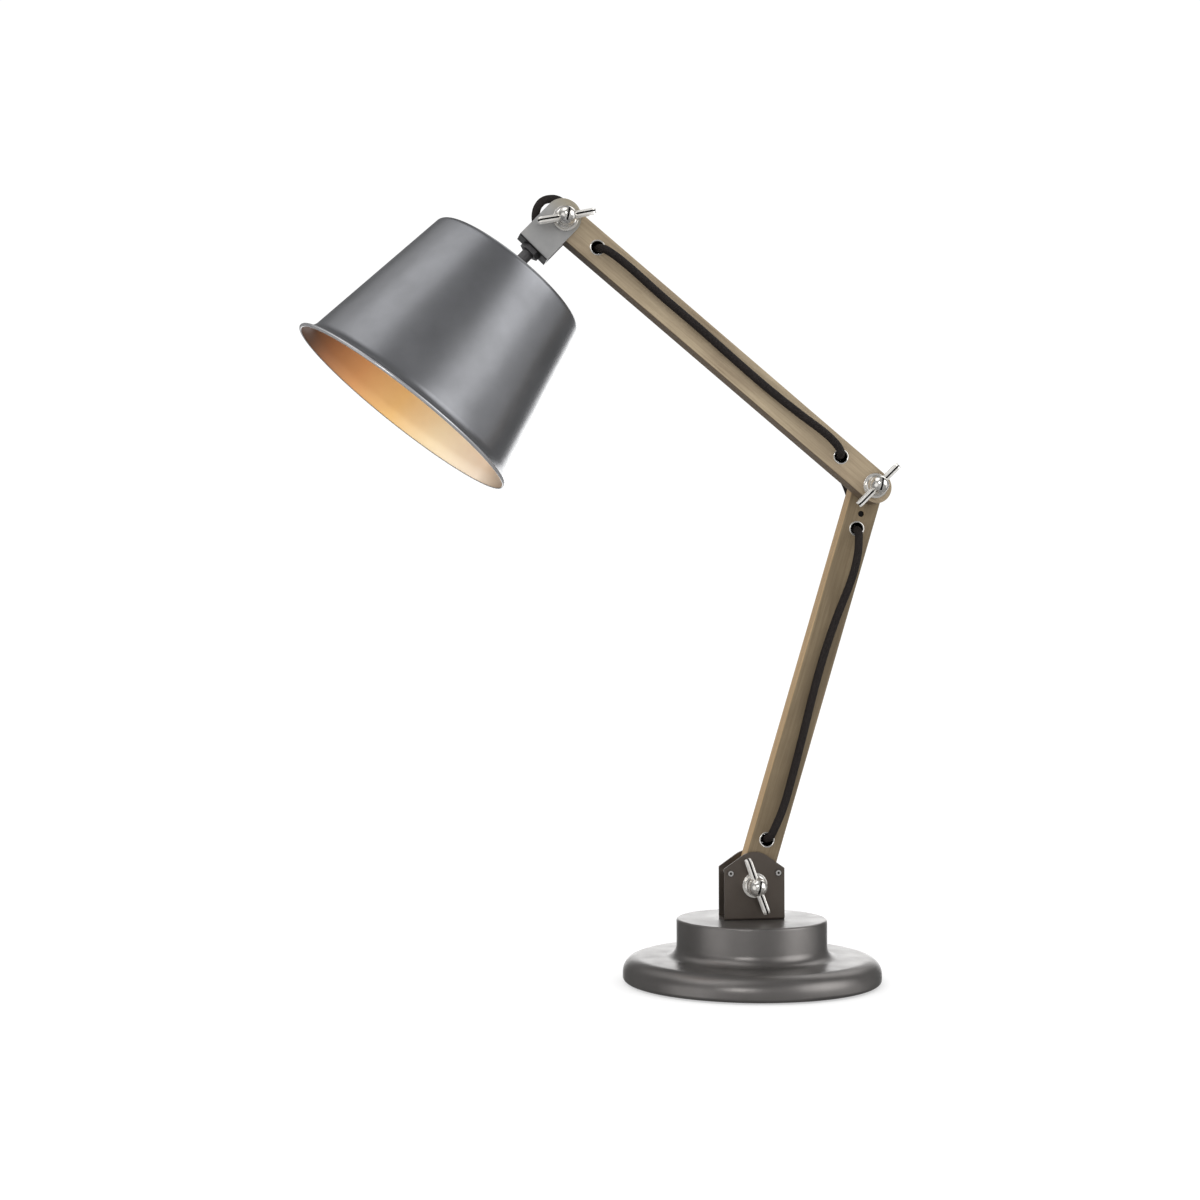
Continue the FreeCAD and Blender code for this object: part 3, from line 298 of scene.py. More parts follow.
def pin_steel():
    """Stop pins: turned steel. Each end is painted with a bright ring as a painted highlight, a dark
    centre as the painted shade of a hollow, and a darker rim as painted shade.
    """
    look = Look("pin_steel", srgb(170, 168, 165), 0.28, 0.8)
    low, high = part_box("stop_pins")
    radius = (high.z - low.z) / 2
    apart = (high.x - low.x) / 2 - radius
    centred = look.node("ShaderNodeVectorMath", operation="SUBTRACT")
    look.link(look.coords, centred.inputs[0])
    centred.inputs[1].default_value = (low + high) / 2
    parts = look.node("ShaderNodeSeparateXYZ")
    look.link(centred.outputs["Vector"], parts.inputs["Vector"])
    one_side = look.node("ShaderNodeMath", operation="ABSOLUTE")
    look.link(parts.outputs["X"], one_side.inputs[0])
    from_axis = look.node("ShaderNodeMath", operation="SUBTRACT")
    look.link(one_side.outputs["Value"], from_axis.inputs[0])
    from_axis.inputs[1].default_value = apart
    flat = look.node("ShaderNodeCombineXYZ")
    look.link(from_axis.outputs["Value"], flat.inputs["X"])
    look.link(parts.outputs["Z"], flat.inputs["Y"])
    reach = look.node("ShaderNodeVectorMath", operation="LENGTH")
    look.link(flat.outputs["Vector"], reach.inputs[0])
    share = look.span(reach.outputs["Value"], 0, 1, 0, radius)
    # Painted highlight and shade: dark centre, bright ring, darker rim.
    look.color(look.ramp(share, [
        (0.30, srgb(52, 49, 47)), (0.45, srgb(205, 203, 200)),
        (0.72, srgb(205, 203, 200)), (0.86, srgb(84, 79, 75)),
    ]))
    look.rough(look.noise(400, 3, 0.6), 0.24, 0.36)
    look.bump(look.noise(1800, 3, 0.6), 0.00002)
    return look.material


def machined_steel(name, dark, light, roughness):
    """Turned or rolled steel with fine drawn lines."""
    look = Look(name, dark, roughness, 1.0)
    lines = look.noise(1500, 3, 0.7)
    look.color(look.ramp(lines, [(0.3, dark), (0.7, light)]))
    look.rough(look.noise(400, 3, 0.6), roughness - 0.06, roughness + 0.08)
    look.bump(lines, 0.00003)
    return look.material


# Gold colours across the shade's inside, from its low side to its high side, with painted light and shade:
# pale and lit near the low side, painted brown shade towards the high side, and darker again at the very
# low edge.
LINING_GOLD_AND_PAINTED_LIGHT = [
    (0.0, srgb(150, 128, 106)),
    (0.10, srgb(248, 232, 212)),
    (0.34, srgb(252, 232, 192)),
    (0.54, srgb(244, 200, 132)),
    (0.74, srgb(214, 154, 98)),
    (0.88, srgb(158, 106, 68)),
    (0.96, srgb(96, 66, 46)),
]


def shade_lining():
    """Warm gold lacquer on the inside of the shade, with painted light and shade across it: pale near its
    low side, browner towards its high side as painted shade.
    """
    look = Look("gold_lining_painted_light", srgb(214, 176, 124), 0.5, 0.15)
    clouds = look.noise(18, 4, 0.6)
    place_inside = look.node("ShaderNodeSeparateXYZ")
    look.link(look.mapped(SHADE), place_inside.inputs["Vector"])
    across = look.span(place_inside.outputs["X"], 0, 1, -0.085, 0.085)
    # Painted light and shade across the inside, from the low side to the high side.
    gold = look.ramp(across, LINING_GOLD_AND_PAINTED_LIGHT)
    cloudy = look.ramp(clouds, [(0.3, srgb(238, 230, 220)), (0.75, srgb(255, 255, 255))])
    look.color(look.mix(0.8, gold, cloudy, "MULTIPLY"))
    look.rough(look.noise(60, 4, 0.6), 0.46, 0.56)
    look.bump(look.noise(2200, 2, 0.6), 0.00002)
    return look.material


def wood(name, matrix, offset, pale, deep, side):
    """Taupe-stained close-grained wood: faint long fibres and mottling; the colour side is painted onto
    one slim side of the arm, as painted light on the lower arm and painted shade on the upper arm's
    underside.
    """
    look = Look(name, pale, 0.6, Specular_IOR_Level=0.3)
    moved = matrix @ Matrix.Translation(offset)
    fibres = look.noise(1, 5, 0.6, look.mapped(moved, (620, 480, 16)), 0.3)
    broad = look.noise(1, 4, 0.55, look.mapped(moved, (48, 40, 16)), 0.6)
    pores = look.noise(1, 3, 0.8, look.mapped(moved, (2000, 1600, 60)))
    faces = look.ramp(broad, [(0.28, deep), (0.72, pale)])
    # Painted light and shade: one slim side takes the colour side, lit on the lower arm and shaded on the
    # upper arm.
    painted_side_mask = look.turned_to(matrix.to_3x3() @ Vector((-1, 0, 0)))
    base = look.mix(painted_side_mask, faces, side)
    streaks = look.ramp(fibres, [(0.3, srgb(214, 208, 200)), (0.65, srgb(255, 253, 250))])
    grained = look.mix(0.8, base, streaks, "MULTIPLY")
    dark = look.ramp(pores, [(0.30, srgb(205, 196, 184)), (0.42, srgb(255, 255, 255))])
    look.color(look.mix(0.5, grained, dark, "MULTIPLY"))
    look.rough(fibres, 0.52, 0.68)
    look.bump(look.mix(0.5, fibres, pores), 0.00008)
    return look.material


def cable_cover():
    """Near-black textile-covered cable with a fine braid."""
    look = Look("cable_cover", srgb(30, 24, 22), 0.72, Specular_IOR_Level=0.3)
    weave = look.node("ShaderNodeTexVoronoi", feature="F1")
    weave.inputs["Scale"].default_value = 1500
    look.link(look.coords, weave.inputs["Vector"])
    cells = weave.outputs["Distance"]
    look.color(look.ramp(cells, [(0.1, srgb(38, 31, 28)), (0.7, srgb(20, 16, 15))]))
    look.rough(look.noise(500, 3, 0.6), 0.64, 0.82)
    look.bump(cells, 0.00012)
    return look.material


def plain(name, dark, light, roughness, scale=180, depth=0.00006, **sockets):
    """Moulded rubber, fibre or plastic: mottled colour, uneven gloss and a fine texture."""
    look = Look(name, dark, roughness, **sockets)
    mottle = look.noise(scale, 5, 0.65)
    look.color(look.ramp(mottle, [(0.3, dark), (0.7, light)]))
    look.rough(look.noise(scale * 2, 3, 0.6), roughness - 0.07, roughness + 0.08)
    look.bump(look.noise(scale * 6, 3, 0.6), depth)
    return look.material


def frosted_glass():
    look = Look("frosted_glass", srgb(246, 244, 238), 0.22, Transmission_Weight=0.55, IOR=1.45)
    look.rough(look.noise(240, 4, 0.6), 0.18, 0.3)
    look.bump(look.noise(1800, 2, 0.6), 0.00002)
    return look.material


MATERIALS = {
    "base": satin_metal("base_pewter", srgb(116, 113, 111), srgb(130, 127, 125), 0.35, 0.85),
    "bracket": satin_metal("bracket_pewter", srgb(97, 89, 82), srgb(110, 102, 95), 0.36),
    "shade": satin_metal("shade_pewter", srgb(129, 130, 133), srgb(142, 143, 147), 0.33, 0.86),
    # The rolled rim: pewter polished smoother, and lighter as a painted highlight.
    "rim": satin_metal("rim_pewter_painted_highlight", srgb(180, 180, 182), srgb(196, 196, 198), 0.2, 0.7),
    "black_steel": satin_metal("black_steel", srgb(22, 21, 21), srgb(34, 33, 32), 0.5),
    "lining": shade_lining(),
    "clevis": clevis_steel(),
    "stem": satin_metal("stem_steel", srgb(84, 83, 84), srgb(100, 99, 100), 0.42),
    "nickel": polished_nickel("polished_nickel", 0.86),
    "wing_nickel": polished_nickel("wing_nickel", 0.5),
    "pin": pin_steel(),
    "steel": machined_steel("screw_steel", srgb(150, 149, 147), srgb(190, 189, 187), 0.28),
    # Both arms are one wood. The lower arm's colours are a darker copy of the upper arm's, as painted
    # shade. Each arm's last colour is painted onto one slim side: painted light on the lower arm's left
    # side, painted shade on the upper arm's underside.
    "lower_wood": wood(
        "lower_arm_wood", LOWER, (0.011, 0.037, 0.02),
        srgb(130, 116, 93), srgb(111, 98, 78), srgb(166, 141, 107),
    ),
    "upper_wood": wood(
        "upper_arm_wood", UPPER, (0.043, 0.016, 0.31),
        srgb(172, 158, 134), srgb(146, 131, 110), srgb(92, 79, 64),
    ),
    "cable": cable_cover(),
    "rubber": plain("black_rubber", srgb(28, 28, 28), srgb(42, 41, 40), 0.72),
    "fibre": plain("fibre_washer", srgb(70, 48, 34), srgb(104, 74, 52), 0.8, 320),
    "plastic": plain("ivory_plastic", srgb(214, 208, 194), srgb(228, 223, 211), 0.45),
    "bakelite": plain("holder_bakelite", srgb(30, 27, 26), srgb(44, 40, 38), 0.36),
    "iron": plain("cast_iron", srgb(52, 51, 50), srgb(78, 76, 74), 0.6, 90, 0.0003, metallic=0.7),
    "brass": machined_steel("holder_brass", srgb(172, 132, 66), srgb(206, 168, 98), 0.25),
    "glass": frosted_glass(),
}


# ---- mesh makers -------------------------------------------------------------------------------


def finish_mesh(name, mesh_data, materials, body, smooth_angle=32):
    """Object from a bmesh, smooth except at its sharp edges, riding on a body."""
    mesh = bpy.data.meshes.new(name)
    bmesh.ops.recalc_face_normals(mesh_data, faces=mesh_data.faces)
    mesh_data.to_mesh(mesh)
    mesh_data.free()
    for key in materials:
        mesh.materials.append(MATERIALS[key])
    mesh.polygons.foreach_set("use_smooth", [True] * len(mesh.polygons))
    mesh.set_sharp_from_angle(angle=math.radians(smooth_angle))
    made = bpy.data.objects.new(name, mesh)
    bpy.context.scene.collection.objects.link(made)
    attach(made, body)
    return made


def arc(first, last, radius, side, steps):
    """Points of an arc after first, up to last; side 1 bulges left of travel, -1 right."""
    start = Vector(first)
    end = Vector(last)
    chord = end - start
    half = chord.length / 2
    left = Vector((-chord.y, chord.x)).normalized()
    centre = (start + end) / 2 - left * side * math.sqrt(max(radius * radius - half * half, 0))
    begin = math.atan2(start.y - centre.y, start.x - centre.x)
    sweep = -side * 2 * math.asin(min(half / radius, 1))
    points = []
    for number in range(1, steps + 1):
        angle = begin + sweep * number / steps
        points.append((centre.x + radius * math.cos(angle), centre.y + radius * math.sin(angle)))
    return points


def fillet(corners, steps=6):
    """Closed outline from (x, y, radius) corners, each rounded by its radius."""
    points = []
    count = len(corners)
    for number, (x, y, radius) in enumerate(corners):
        here = Vector((x, y))
        before = (Vector(corners[number - 1][:2]) - here).normalized()
        after = (Vector(corners[(number + 1) % count][:2]) - here).normalized()
        if radius <= 0:
            points.append(tuple(here))
            continue
        half_angle = before.angle(after) / 2
        setback = radius / math.tan(half_angle)
        first = here + before * setback
        last = here + after * setback
        side = 1 if before.x * after.y - before.y * after.x > 0 else -1
        points.append(tuple(first))
        points.extend(arc(first, last, radius, side, steps))
    return points


def lathe(name, profile, matrix, materials, body, segments=96, inner=None, smooth_angle=32):
    """Closed (radius, height) outline spun about a frame's Z; inner gives each edge's material."""
    data = bmesh.new()
    rings = []
    for radius, height in profile:
        if radius < 1e-7:
            rings.append([data.verts.new(matrix @ Vector((0, 0, height)))])
            continue
        ring = []
        for number in range(segments):
            angle = 2 * math.pi * number / segments
            spot = Vector((radius * math.cos(angle), radius * math.sin(angle), height))
            ring.append(data.verts.new(matrix @ spot))
        rings.append(ring)
    for number, ring in enumerate(rings):
        other = rings[(number + 1) % len(rings)]
        if len(ring) == 1 and len(other) == 1:
            continue
        for step in range(segments):
            turn = (step + 1) % segments
            if len(ring) == 1:
                face = data.faces.new((ring[0], other[turn], other[step]))
            elif len(other) == 1:
                face = data.faces.new((ring[step], ring[turn], other[0]))
            else:
                face = data.faces.new((ring[step], ring[turn], other[turn], other[step]))
            if inner:
                face.material_index = int(inner(number))
    return finish_mesh(name, data, materials, body, smooth_angle)


def prism(data, outline, low, high, matrix):
    """Closed outline in a frame's XY plane, given thickness along Z, added to a bmesh."""
    bottom = [data.verts.new(matrix @ Vector((x, y, low))) for x, y in outline]
    top = [data.verts.new(matrix @ Vector((x, y, high))) for x, y in outline]
    data.faces.new(bottom[::-1])
    data.faces.new(top)
    count = len(outline)
    for number in range(count):
        turn = (number + 1) % count
        data.faces.new((bottom[number], bottom[turn], top[turn], top[number]))
    return bottom + top


# ---- cables ------------------------------------------------------------------------------------


def cable_curve(name, points):
    """Smooth cable through its route's points, as a curve."""
    data = bpy.data.curves.new(name, "CURVE")
    data.dimensions = "3D"
    spline = data.splines.new("NURBS")
    spline.points.add(len(points) - 1)
    for item, point in zip(spline.points, points):
        item.co = (*point, 1)
    spline.order_u = 3
    spline.use_endpoint_u = True
    spline.resolution_u = 12
    data.bevel_depth = CABLE_RADIUS
    data.bevel_resolution = 7
    data.use_fill_caps = True
    data.materials.append(MATERIALS["cable"])
    made = bpy.data.objects.new(name, data)
    bpy.context.scene.collection.objects.link(made)
    return made


def line_of(curve):
    """Points along a curve's own line."""
    depth = curve.data.bevel_depth
    curve.data.bevel_depth = 0
    bpy.context.view_layer.update()
    mesh = bpy.data.meshes.new_from_object(curve)
    points = [tuple(vertex.co) for vertex in mesh.vertices]
    bpy.data.meshes.remove(mesh)
    curve.data.bevel_depth = depth
    return points


def fixed_cable(name, points, body, node):
    """Cable along one arm."""
    made = cable_curve(name, points)
    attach(made, body)
    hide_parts(node)


def loop_cable(name, points, node):
    """Cable past a joint, as a tube mesh made from its curve."""
    curve = cable_curve(name + "_line", points)
    path = line_of(curve)
    bpy.context.view_layer.update()
    mesh = bpy.data.meshes.new_from_object(curve)
    bpy.data.objects.remove(curve)
    mesh.name = name
    made = bpy.data.objects.new(name, mesh)
    bpy.context.scene.collection.objects.link(made)
    mesh.polygons.foreach_set("use_smooth", [True] * len(mesh.polygons))
    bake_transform(made)
    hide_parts(node)


def make_cables():
    low, top = LOWER_HOLES
    near, far = UPPER_HOLES
    elbow = Matrix.Translation(ELBOW_PIVOT)
    head = Matrix.Translation(HEAD_PIVOT)
    loop_cable("base_loop", [
        GROMMET + Vector((0, 0, 0.002)),
        GROMMET + Vector((0, 0, 0.010)),
        GROMMET + Vector((0.0008, 0.0024, 0.021)),
        GROMMET + Vector((0.0018, -0.0010, 0.036)),
        GROMMET + Vector((0.0030, -0.0080, 0.048)),
        *along(LOWER, [(0, 0.014, low), (0, ARM_HALF, low)]),
    ], "cable_base_loop")
    fixed_cable("lower_cable", along(LOWER, [
        (0, ARM_HALF, low),
        (0, -HOLE_LEAD, low),
        (0.0010, -0.0145, 0.041),
        (0.0034, -0.0134, 0.057),
        (0.0037, -0.0116, 0.078),
        (0.0029, -0.0110, 0.110),
        (0.0015, -0.0108, 0.142),
        (0.0012, -0.0110, 0.172),
        (0.0026, -0.0124, 0.200),
        (0.0046, -0.0154, 0.224),
        (0.0034, -0.0172, 0.241),
        (0.0008, -0.0162, 0.253),
        (0, -HOLE_LEAD, top),
        (0, ARM_HALF, top),
    ]), "lower_arm", "cable_lower_arm")
    loop_cable("elbow_loop", [
        *along(LOWER, [(0, ARM_HALF, top), (0, 0.014, top)]),
        *along(elbow, [
            (-0.0058, 0.0180, -0.0195),
            (-0.0046, 0.0190, -0.0060),
            (-0.0114, 0.0164, 0.0090),
            (-0.0215, 0.0034, 0.0155),
        ]),
        *along(UPPER, [(0, ARM_HALF + 0.0065, near), (0, ARM_HALF, near)]),
    ], "cable_elbow_loop")
    fixed_cable("upper_cable", along(UPPER, [
        (0, ARM_HALF, near),
        (0, -HOLE_LEAD, near),
        (0.0026, -0.0145, 0.0395),
        (0.0037, -0.0140, 0.052),
        (0.0024, -0.0120, 0.074),
        (0.0016, -0.0108, 0.104),
        (0.0019, -0.0110, 0.136),
        (0.0027, -0.0108, 0.168),
        (0.0022, -0.0114, 0.200),
        (0.0026, -0.0132, 0.226),
        (0.0016, -0.0148, 0.2445),
        (0, -HOLE_LEAD, far),
        (0, ARM_HALF, far),
    ]), "upper_arm", "cable_upper_arm")
    loop_cable("head_loop", [
        *along(UPPER, [(0, ARM_HALF, far), (0, ARM_HALF + 0.0065, far)]),
        *along(head, [
            (0.0168, 0.0160, -0.0056),
            (0.0102, 0.0156, 0.0082),
            (-0.0005, 0.0136, 0.0194),
            (-0.0118, 0.0100, 0.0178),
            (-0.0174, 0.0054, 0.0114),
            (-0.0196, 0.0014, 0.0026),
            (-0.0178, 0.0002, -0.0048),
        ]),
        *along(STEM, [(0, 0, STEM_MOUTH - 0.008), (0, 0, STEM_MOUTH)]),
    ], "cable_head_loop")


make_cables()


# ---- base --------------------------------------------------------------------------------------


def make_base():
    """Spun shell: bullnose disc, cove and drum, with the real wall and cavity."""
    outline = fillet([
        (0.084, 0.001, 0),
        (0.090, 0.001, 0.003),
        (0.090, 0.018, 0.011),
        (0.0525, 0.018, 0.008),
        (0.0525, 0.044, 0.0016),
        (CLEAR_BORE, 0.044, 0),
        (CLEAR_BORE, 0.042, 0),
        (0.0505, 0.042, 0.001),
        (0.0505, 0.016, 0.001),
        (0.076, 0.016, 0.001),
        (0.076, 0.003, 0),
        (0.084, 0.003, 0),
    ], 10)
    made = lathe("base_cover", outline, Matrix(), ["base"], "root", 192, smooth_angle=45)
    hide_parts("base_shell")


make_base()


# ---- shade and bulb ----------------------------------------------------------------------------


def make_shade():
    """Spun cone with a rounded shoulder, a flared lip with a rolled edge, and a gold inside; the band just
    above the rolled edge is black, as painted shade in the crease.
    """
    wall = 0.0012
    outside = [(0.0042, 0), (0.0558, 0)]
    outside += arc((0.0558, 0), (0.0602, 0.0037), 0.0045, -1, 8)
    for step in range(1, 13):
        share = step / 12
        outside.append((0.0602 + (0.0792 - 0.0602) * share, 0.0037 + (0.1097 - 0.0037) * share))
    outside += arc((0.0792, 0.1097), (0.0851, 0.1167), 0.0103, 1, 10)
    bead = []
    for step in range(16):
        angle = math.radians(-130 + 260 * step / 15)
        bead.append((0.0859 + 0.0012 * math.cos(angle), 0.1178 + 0.0012 * math.sin(angle)))
    inside = [(0.0853, 0.1184)]
    inside += arc((0.0853, 0.1184), (0.0780, 0.1100), 0.0115, -1, 10)
    for step in range(11, -1, -1):
        share = step / 12
        inside.append((0.0590 + (0.0780 - 0.0590) * share, 0.0042 + (0.1100 - 0.0042) * share))
    inside += arc((0.0590, 0.0042), (0.0558, wall), 0.0033, 1, 6)
    inside.append((0.0042, wall))
    profile = outside + bead + inside
    lined_from = len(outside) + len(bead)
    beaded_from = len(outside)

    def layer(number):
        if lined_from <= number < len(profile) - 1:
            return 1
        # Painted shade: the last band of the flare before the bead is black, a dark line in the crease.
        if number == beaded_from - 1:
            return 3
        return 2 if beaded_from <= number < lined_from else 0

    layers = ["shade", "lining", "rim", "black_steel"]
    made = lathe(
        "shade_cone", profile, SHADE, layers, "head", 256,
        inner=layer, smooth_angle=40,
    )
    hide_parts("shade")


def ball_profile():
    """Outline of the bulb's glass: neck, swelling shoulder, ball, then back inside."""
    radius = 0.0225
    centre = 0.0865 - radius
    first = math.radians(49)
    outer = [(0.0070, 0.0400), (0.0074, 0.0425), (0.0105, 0.0455)]
    for step in range(25):
        angle = first + (math.pi - first) * step / 24
        outer.append((radius * math.sin(angle), centre - radius * math.cos(angle)))
    outer[-1] = (0, centre + radius)
    shrink = (radius - 0.001) / radius
    inner = [(r * shrink, centre + (h - centre) * shrink) for r, h in reversed(outer[3:])]
    inner += [(0.0095, 0.0462), (0.0064, 0.0430), (0.0060, 0.0400)]
    return outer + inner


def make_bulb_glass():
    made = lathe("bulb_globe", ball_profile(), SHADE, ["glass"], "head", 96, smooth_angle=60)
    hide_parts("bulb_glass")


make_shade()
make_bulb_glass()


# ---- joint hardware ----------------------------------------------------------------------------


def facing(node):
    """Frame at the middle of a node's back face, with Z to the front."""
    low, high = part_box(node)
    centre = (low + high) / 2
    return place((centre.x, high.y, centre.z), FRONT, UP)


def make_washer(name, node, body):
    """Polished washer with softened edges."""
    low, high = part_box(node)
    radius = (high.x - low.x) / 2
    thick = high.y - low.y
    soft = WASHER_SOFTNESS
    outline = fillet([
        (CLEAR_BORE, 0, soft * 0.6),
        (radius, 0, soft),
        (radius, thick, soft),
        (CLEAR_BORE, thick, soft * 0.6),
    ], 5)
    made = lathe(name, outline, facing(node), ["nickel"], body, 72)
    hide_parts(node)


def make_wing_nut(name, node, body, angle):
    """Cast wing nut: slotted ball on a neck and a round foot, and two wings with a sunk panel each."""
    low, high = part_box(node)
    seat = facing(node)
    height = high.y - low.y
    centre = height - NUT_BALL
    first = math.acos(NUT_NECK / NUT_BALL)
    profile = [(CLEAR_BORE, SEAT_GAP), (0.0066, SEAT_GAP), (0.0072, 0.0005), (0.0072, 0.0013)]
    profile += [(0.0064, 0.0018), (NUT_NECK, 0.0036)]
    for step in range(15):
        around = -first + (math.pi / 2 + first) * step / 15
        profile.append((NUT_BALL * math.cos(around), centre + NUT_BALL * math.sin(around)))
    blind = height - NUT_BLIND
    profile += [(0, height), (0, blind), (CLEAR_BORE, blind)]
    made = lathe(name, profile, seat, ["nickel"], body, 72, smooth_angle=50)
    cut_slot(made, seat, height)
    make_wings(name + "_wings", seat, body, angle)
    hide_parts(node)


def cut_slot(made, seat, height):
    """Screwdriver slot across a nut's ball; its walls take the cutter's black, as painted shade in the
    slot.
    """
    half = NUT_SLOT / 2
    data = bmesh.new()
    tilt = seat @ Matrix.Rotation(math.radians(-12), 4, "Z")
    reach = 0.008
    outline = [(-half, -reach), (half, -reach), (half, reach), (-half, reach)]
    prism(data, outline, height - 0.0019, height + 0.002, tilt)
    bmesh.ops.recalc_face_normals(data, faces=data.faces)
    mesh = bpy.data.meshes.new("slot_cutter")
    # Painted shade: the cutter's black passes to the slot's walls.
    mesh.materials.append(MATERIALS["black_steel"])
    data.to_mesh(mesh)
    data.free()
    cutter = bpy.data.objects.new("slot_cutter", mesh)
    bpy.context.scene.collection.objects.link(cutter)
    difference = made.modifiers.new("slot", "BOOLEAN")
    difference.operation = "DIFFERENCE"
    difference.solver = "EXACT"
    difference.material_mode = "TRANSFER"
    difference.object = cutter
    bpy.context.view_layer.update()
    depsgraph = bpy.context.evaluated_depsgraph_get()
    result = bpy.data.meshes.new_from_object(made.evaluated_get(depsgraph))
    made.modifiers.clear()
    made.data = result
    result.polygons.foreach_set("use_smooth", [True] * len(result.polygons))
    result.set_sharp_from_angle(angle=math.radians(30))
    bpy.data.objects.remove(cutter)


def make_wings(name, seat, body, angle):
    """Both wings: plates that widen outwards, sunk along their flat sides and round their edges; the sunk
    band round the edges is black, as painted shade.
    """
    data = bmesh.new()
    outline = [
        (0.0054, 0.0021, 0),
        (0.0204, 0.0031, 0.0030),
        (0.0204, 0.0095, 0.0030),
        (0.0054, 0.0085, 0),
    ]
    half = 0.0020
    sunk = 0.0008
    middle = Vector((0.0129, 0.0058))
    for side in (0, 180):
        turn = Matrix.Rotation(math.radians(angle + side), 4, "Z")
        upright = Matrix(((1, 0, 0, 0), (0, 0, -1, 0), (0, 1, 0, 0), (0, 0, 0, 1)))
        matrix = seat @ turn @ upright
        rim = fillet(outline, 6)
        groove = [(middle.x + (x - middle.x) * 0.88, middle.y + (y - middle.y) * 0.60) for x, y in rim]
        floor = [(middle.x + (x - middle.x) * 0.84, middle.y + (y - middle.y) * 0.46) for x, y in rim]
        soft = [(middle.x + (x - middle.x) * 0.975, middle.y + (y - middle.y) * 0.93) for x, y in rim]
        edge = [(middle.x + (x - middle.x) * 0.955, middle.y + (y - middle.y) * 0.86) for x, y in rim]
        levels = [
            (floor, half - sunk), (groove, half), (soft, half), (rim, half - 0.0004),
            (rim, 0.0006), (edge, 0.0005), (edge, -0.0005), (rim, -0.0006),
            (rim, -half + 0.0004), (soft, -half), (groove, -half), (floor, -half + sunk),
        ]
        rings = [[data.verts.new(matrix @ Vector((x, y, z))) for x, y in shape] for shape, z in levels]
        for level, (first, second) in enumerate(zip(rings, rings[1:])):
            for number in range(len(first)):
                turn_to = (number + 1) % len(first)
                face = data.faces.new((first[number], first[turn_to], second[turn_to], second[number]))
                # Painted shade: the sunk band round each wing's edge is black.
                face.material_index = int(4 <= level <= 6)
        data.faces.new(rings[0])
        data.faces.new(rings[-1])
    return finish_mesh(name, data, ["wing_nickel", "black_steel"], body, 28)


def make_bolt(name, node, body):
    """Pivot bolt: domed head at the back and a plain shank that ends inside its nut."""
    low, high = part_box(node)
    length = high.y - low.y
    profile = [(0, 0)]
    for step in range(1, 9):
        share = step / 8
        profile.append((0.0095 * share, 0.0034 * share ** 2))
    profile += [(0.0095, 0.0038), (0.0093, 0.004), (BOLT_RADIUS, 0.004)]
    profile += [(BOLT_RADIUS, length - 0.0006), (BOLT_RADIUS - 0.0006, length - 0.0001), (0, length)]
    made = lathe(name, profile, facing(node), ["nickel"], body, 72)
    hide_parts(node)


def make_eyelets(name, node, body, matrix, heights):
    """Rolled eyelets, one lining each cable hole, close on the cable at the back; the throat inside each
    is black, as painted shade in the hole.
    """
    whole = 2 * (ARM_HALF + ROLL)
    front_roll = []
    back_roll = []
    for step in range(1, 8):
        angle = math.radians(180 * step / 8)
        out = EYELET_FLANGE - 0.00055 * (1 - math.cos(angle))
        front_roll.append((out, whole - ROLL + ROLL * math.sin(angle)))
        back_roll.append((out, ROLL - ROLL * math.sin(angle)))
    outline = [(EYELET_BORE, whole - ROLL), *reversed(front_roll), (EYELET_FLANGE, whole - ROLL)]
    outline += [(0.0049, whole - ROLL), (0.0049, ROLL), (EYELET_FLANGE, ROLL), *back_roll]
    outline += [(EYELET_THROAT, ROLL), (EYELET_THROAT, whole * 0.45), (EYELET_BORE, whole * 0.6)]
    # Painted shade: the faces of the throat, from here on, are black.
    bore_from = len(outline) - 3
    for number, height in enumerate(heights, start=1):
        spot = place(matrix @ Vector((0, ARM_HALF + ROLL, height)), FRONT, UP)
        made = lathe(
            f"{name}_{number}", outline, spot, ["nickel", "black_steel"], body, 64,
            inner=lambda edge: edge >= bore_from,
        )
        if number == 1:
            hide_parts(node)


def make_hardware():
    for joint, nut_body, bolt_body, bolt in (
        ("base", "base_wing_nut", "root", "base_pivot_bolt"),
        ("elbow", "elbow_wing_nut", "lower_arm", "elbow_bolt"),
        ("head", "head_wing_nut", "head", "head_pivot_bolt"),
    ):
        make_wing_nut(f"{joint}_nut", f"{joint}_wing_nut", nut_body, WING_ANGLES[joint])
        make_bolt(f"{joint}_bolt", bolt, bolt_body)
    make_washer("base_washer", "base_front_washer", "root")
    make_washer("elbow_washer", "elbow_front_washer", "upper_arm")
    make_washer("elbow_back_washer", "elbow_rear_washer", "lower_arm")
    make_washer("head_washer", "head_front_washer", "head")
    make_eyelets("lower_eyelet", "lower_arm_eyelets", "lower_arm", LOWER, LOWER_HOLES)
    make_eyelets("upper_eyelet", "upper_arm_eyelets", "upper_arm", UPPER, UPPER_HOLES)


make_hardware()


# ---- carried-over CAD pieces -------------------------------------------------------------------

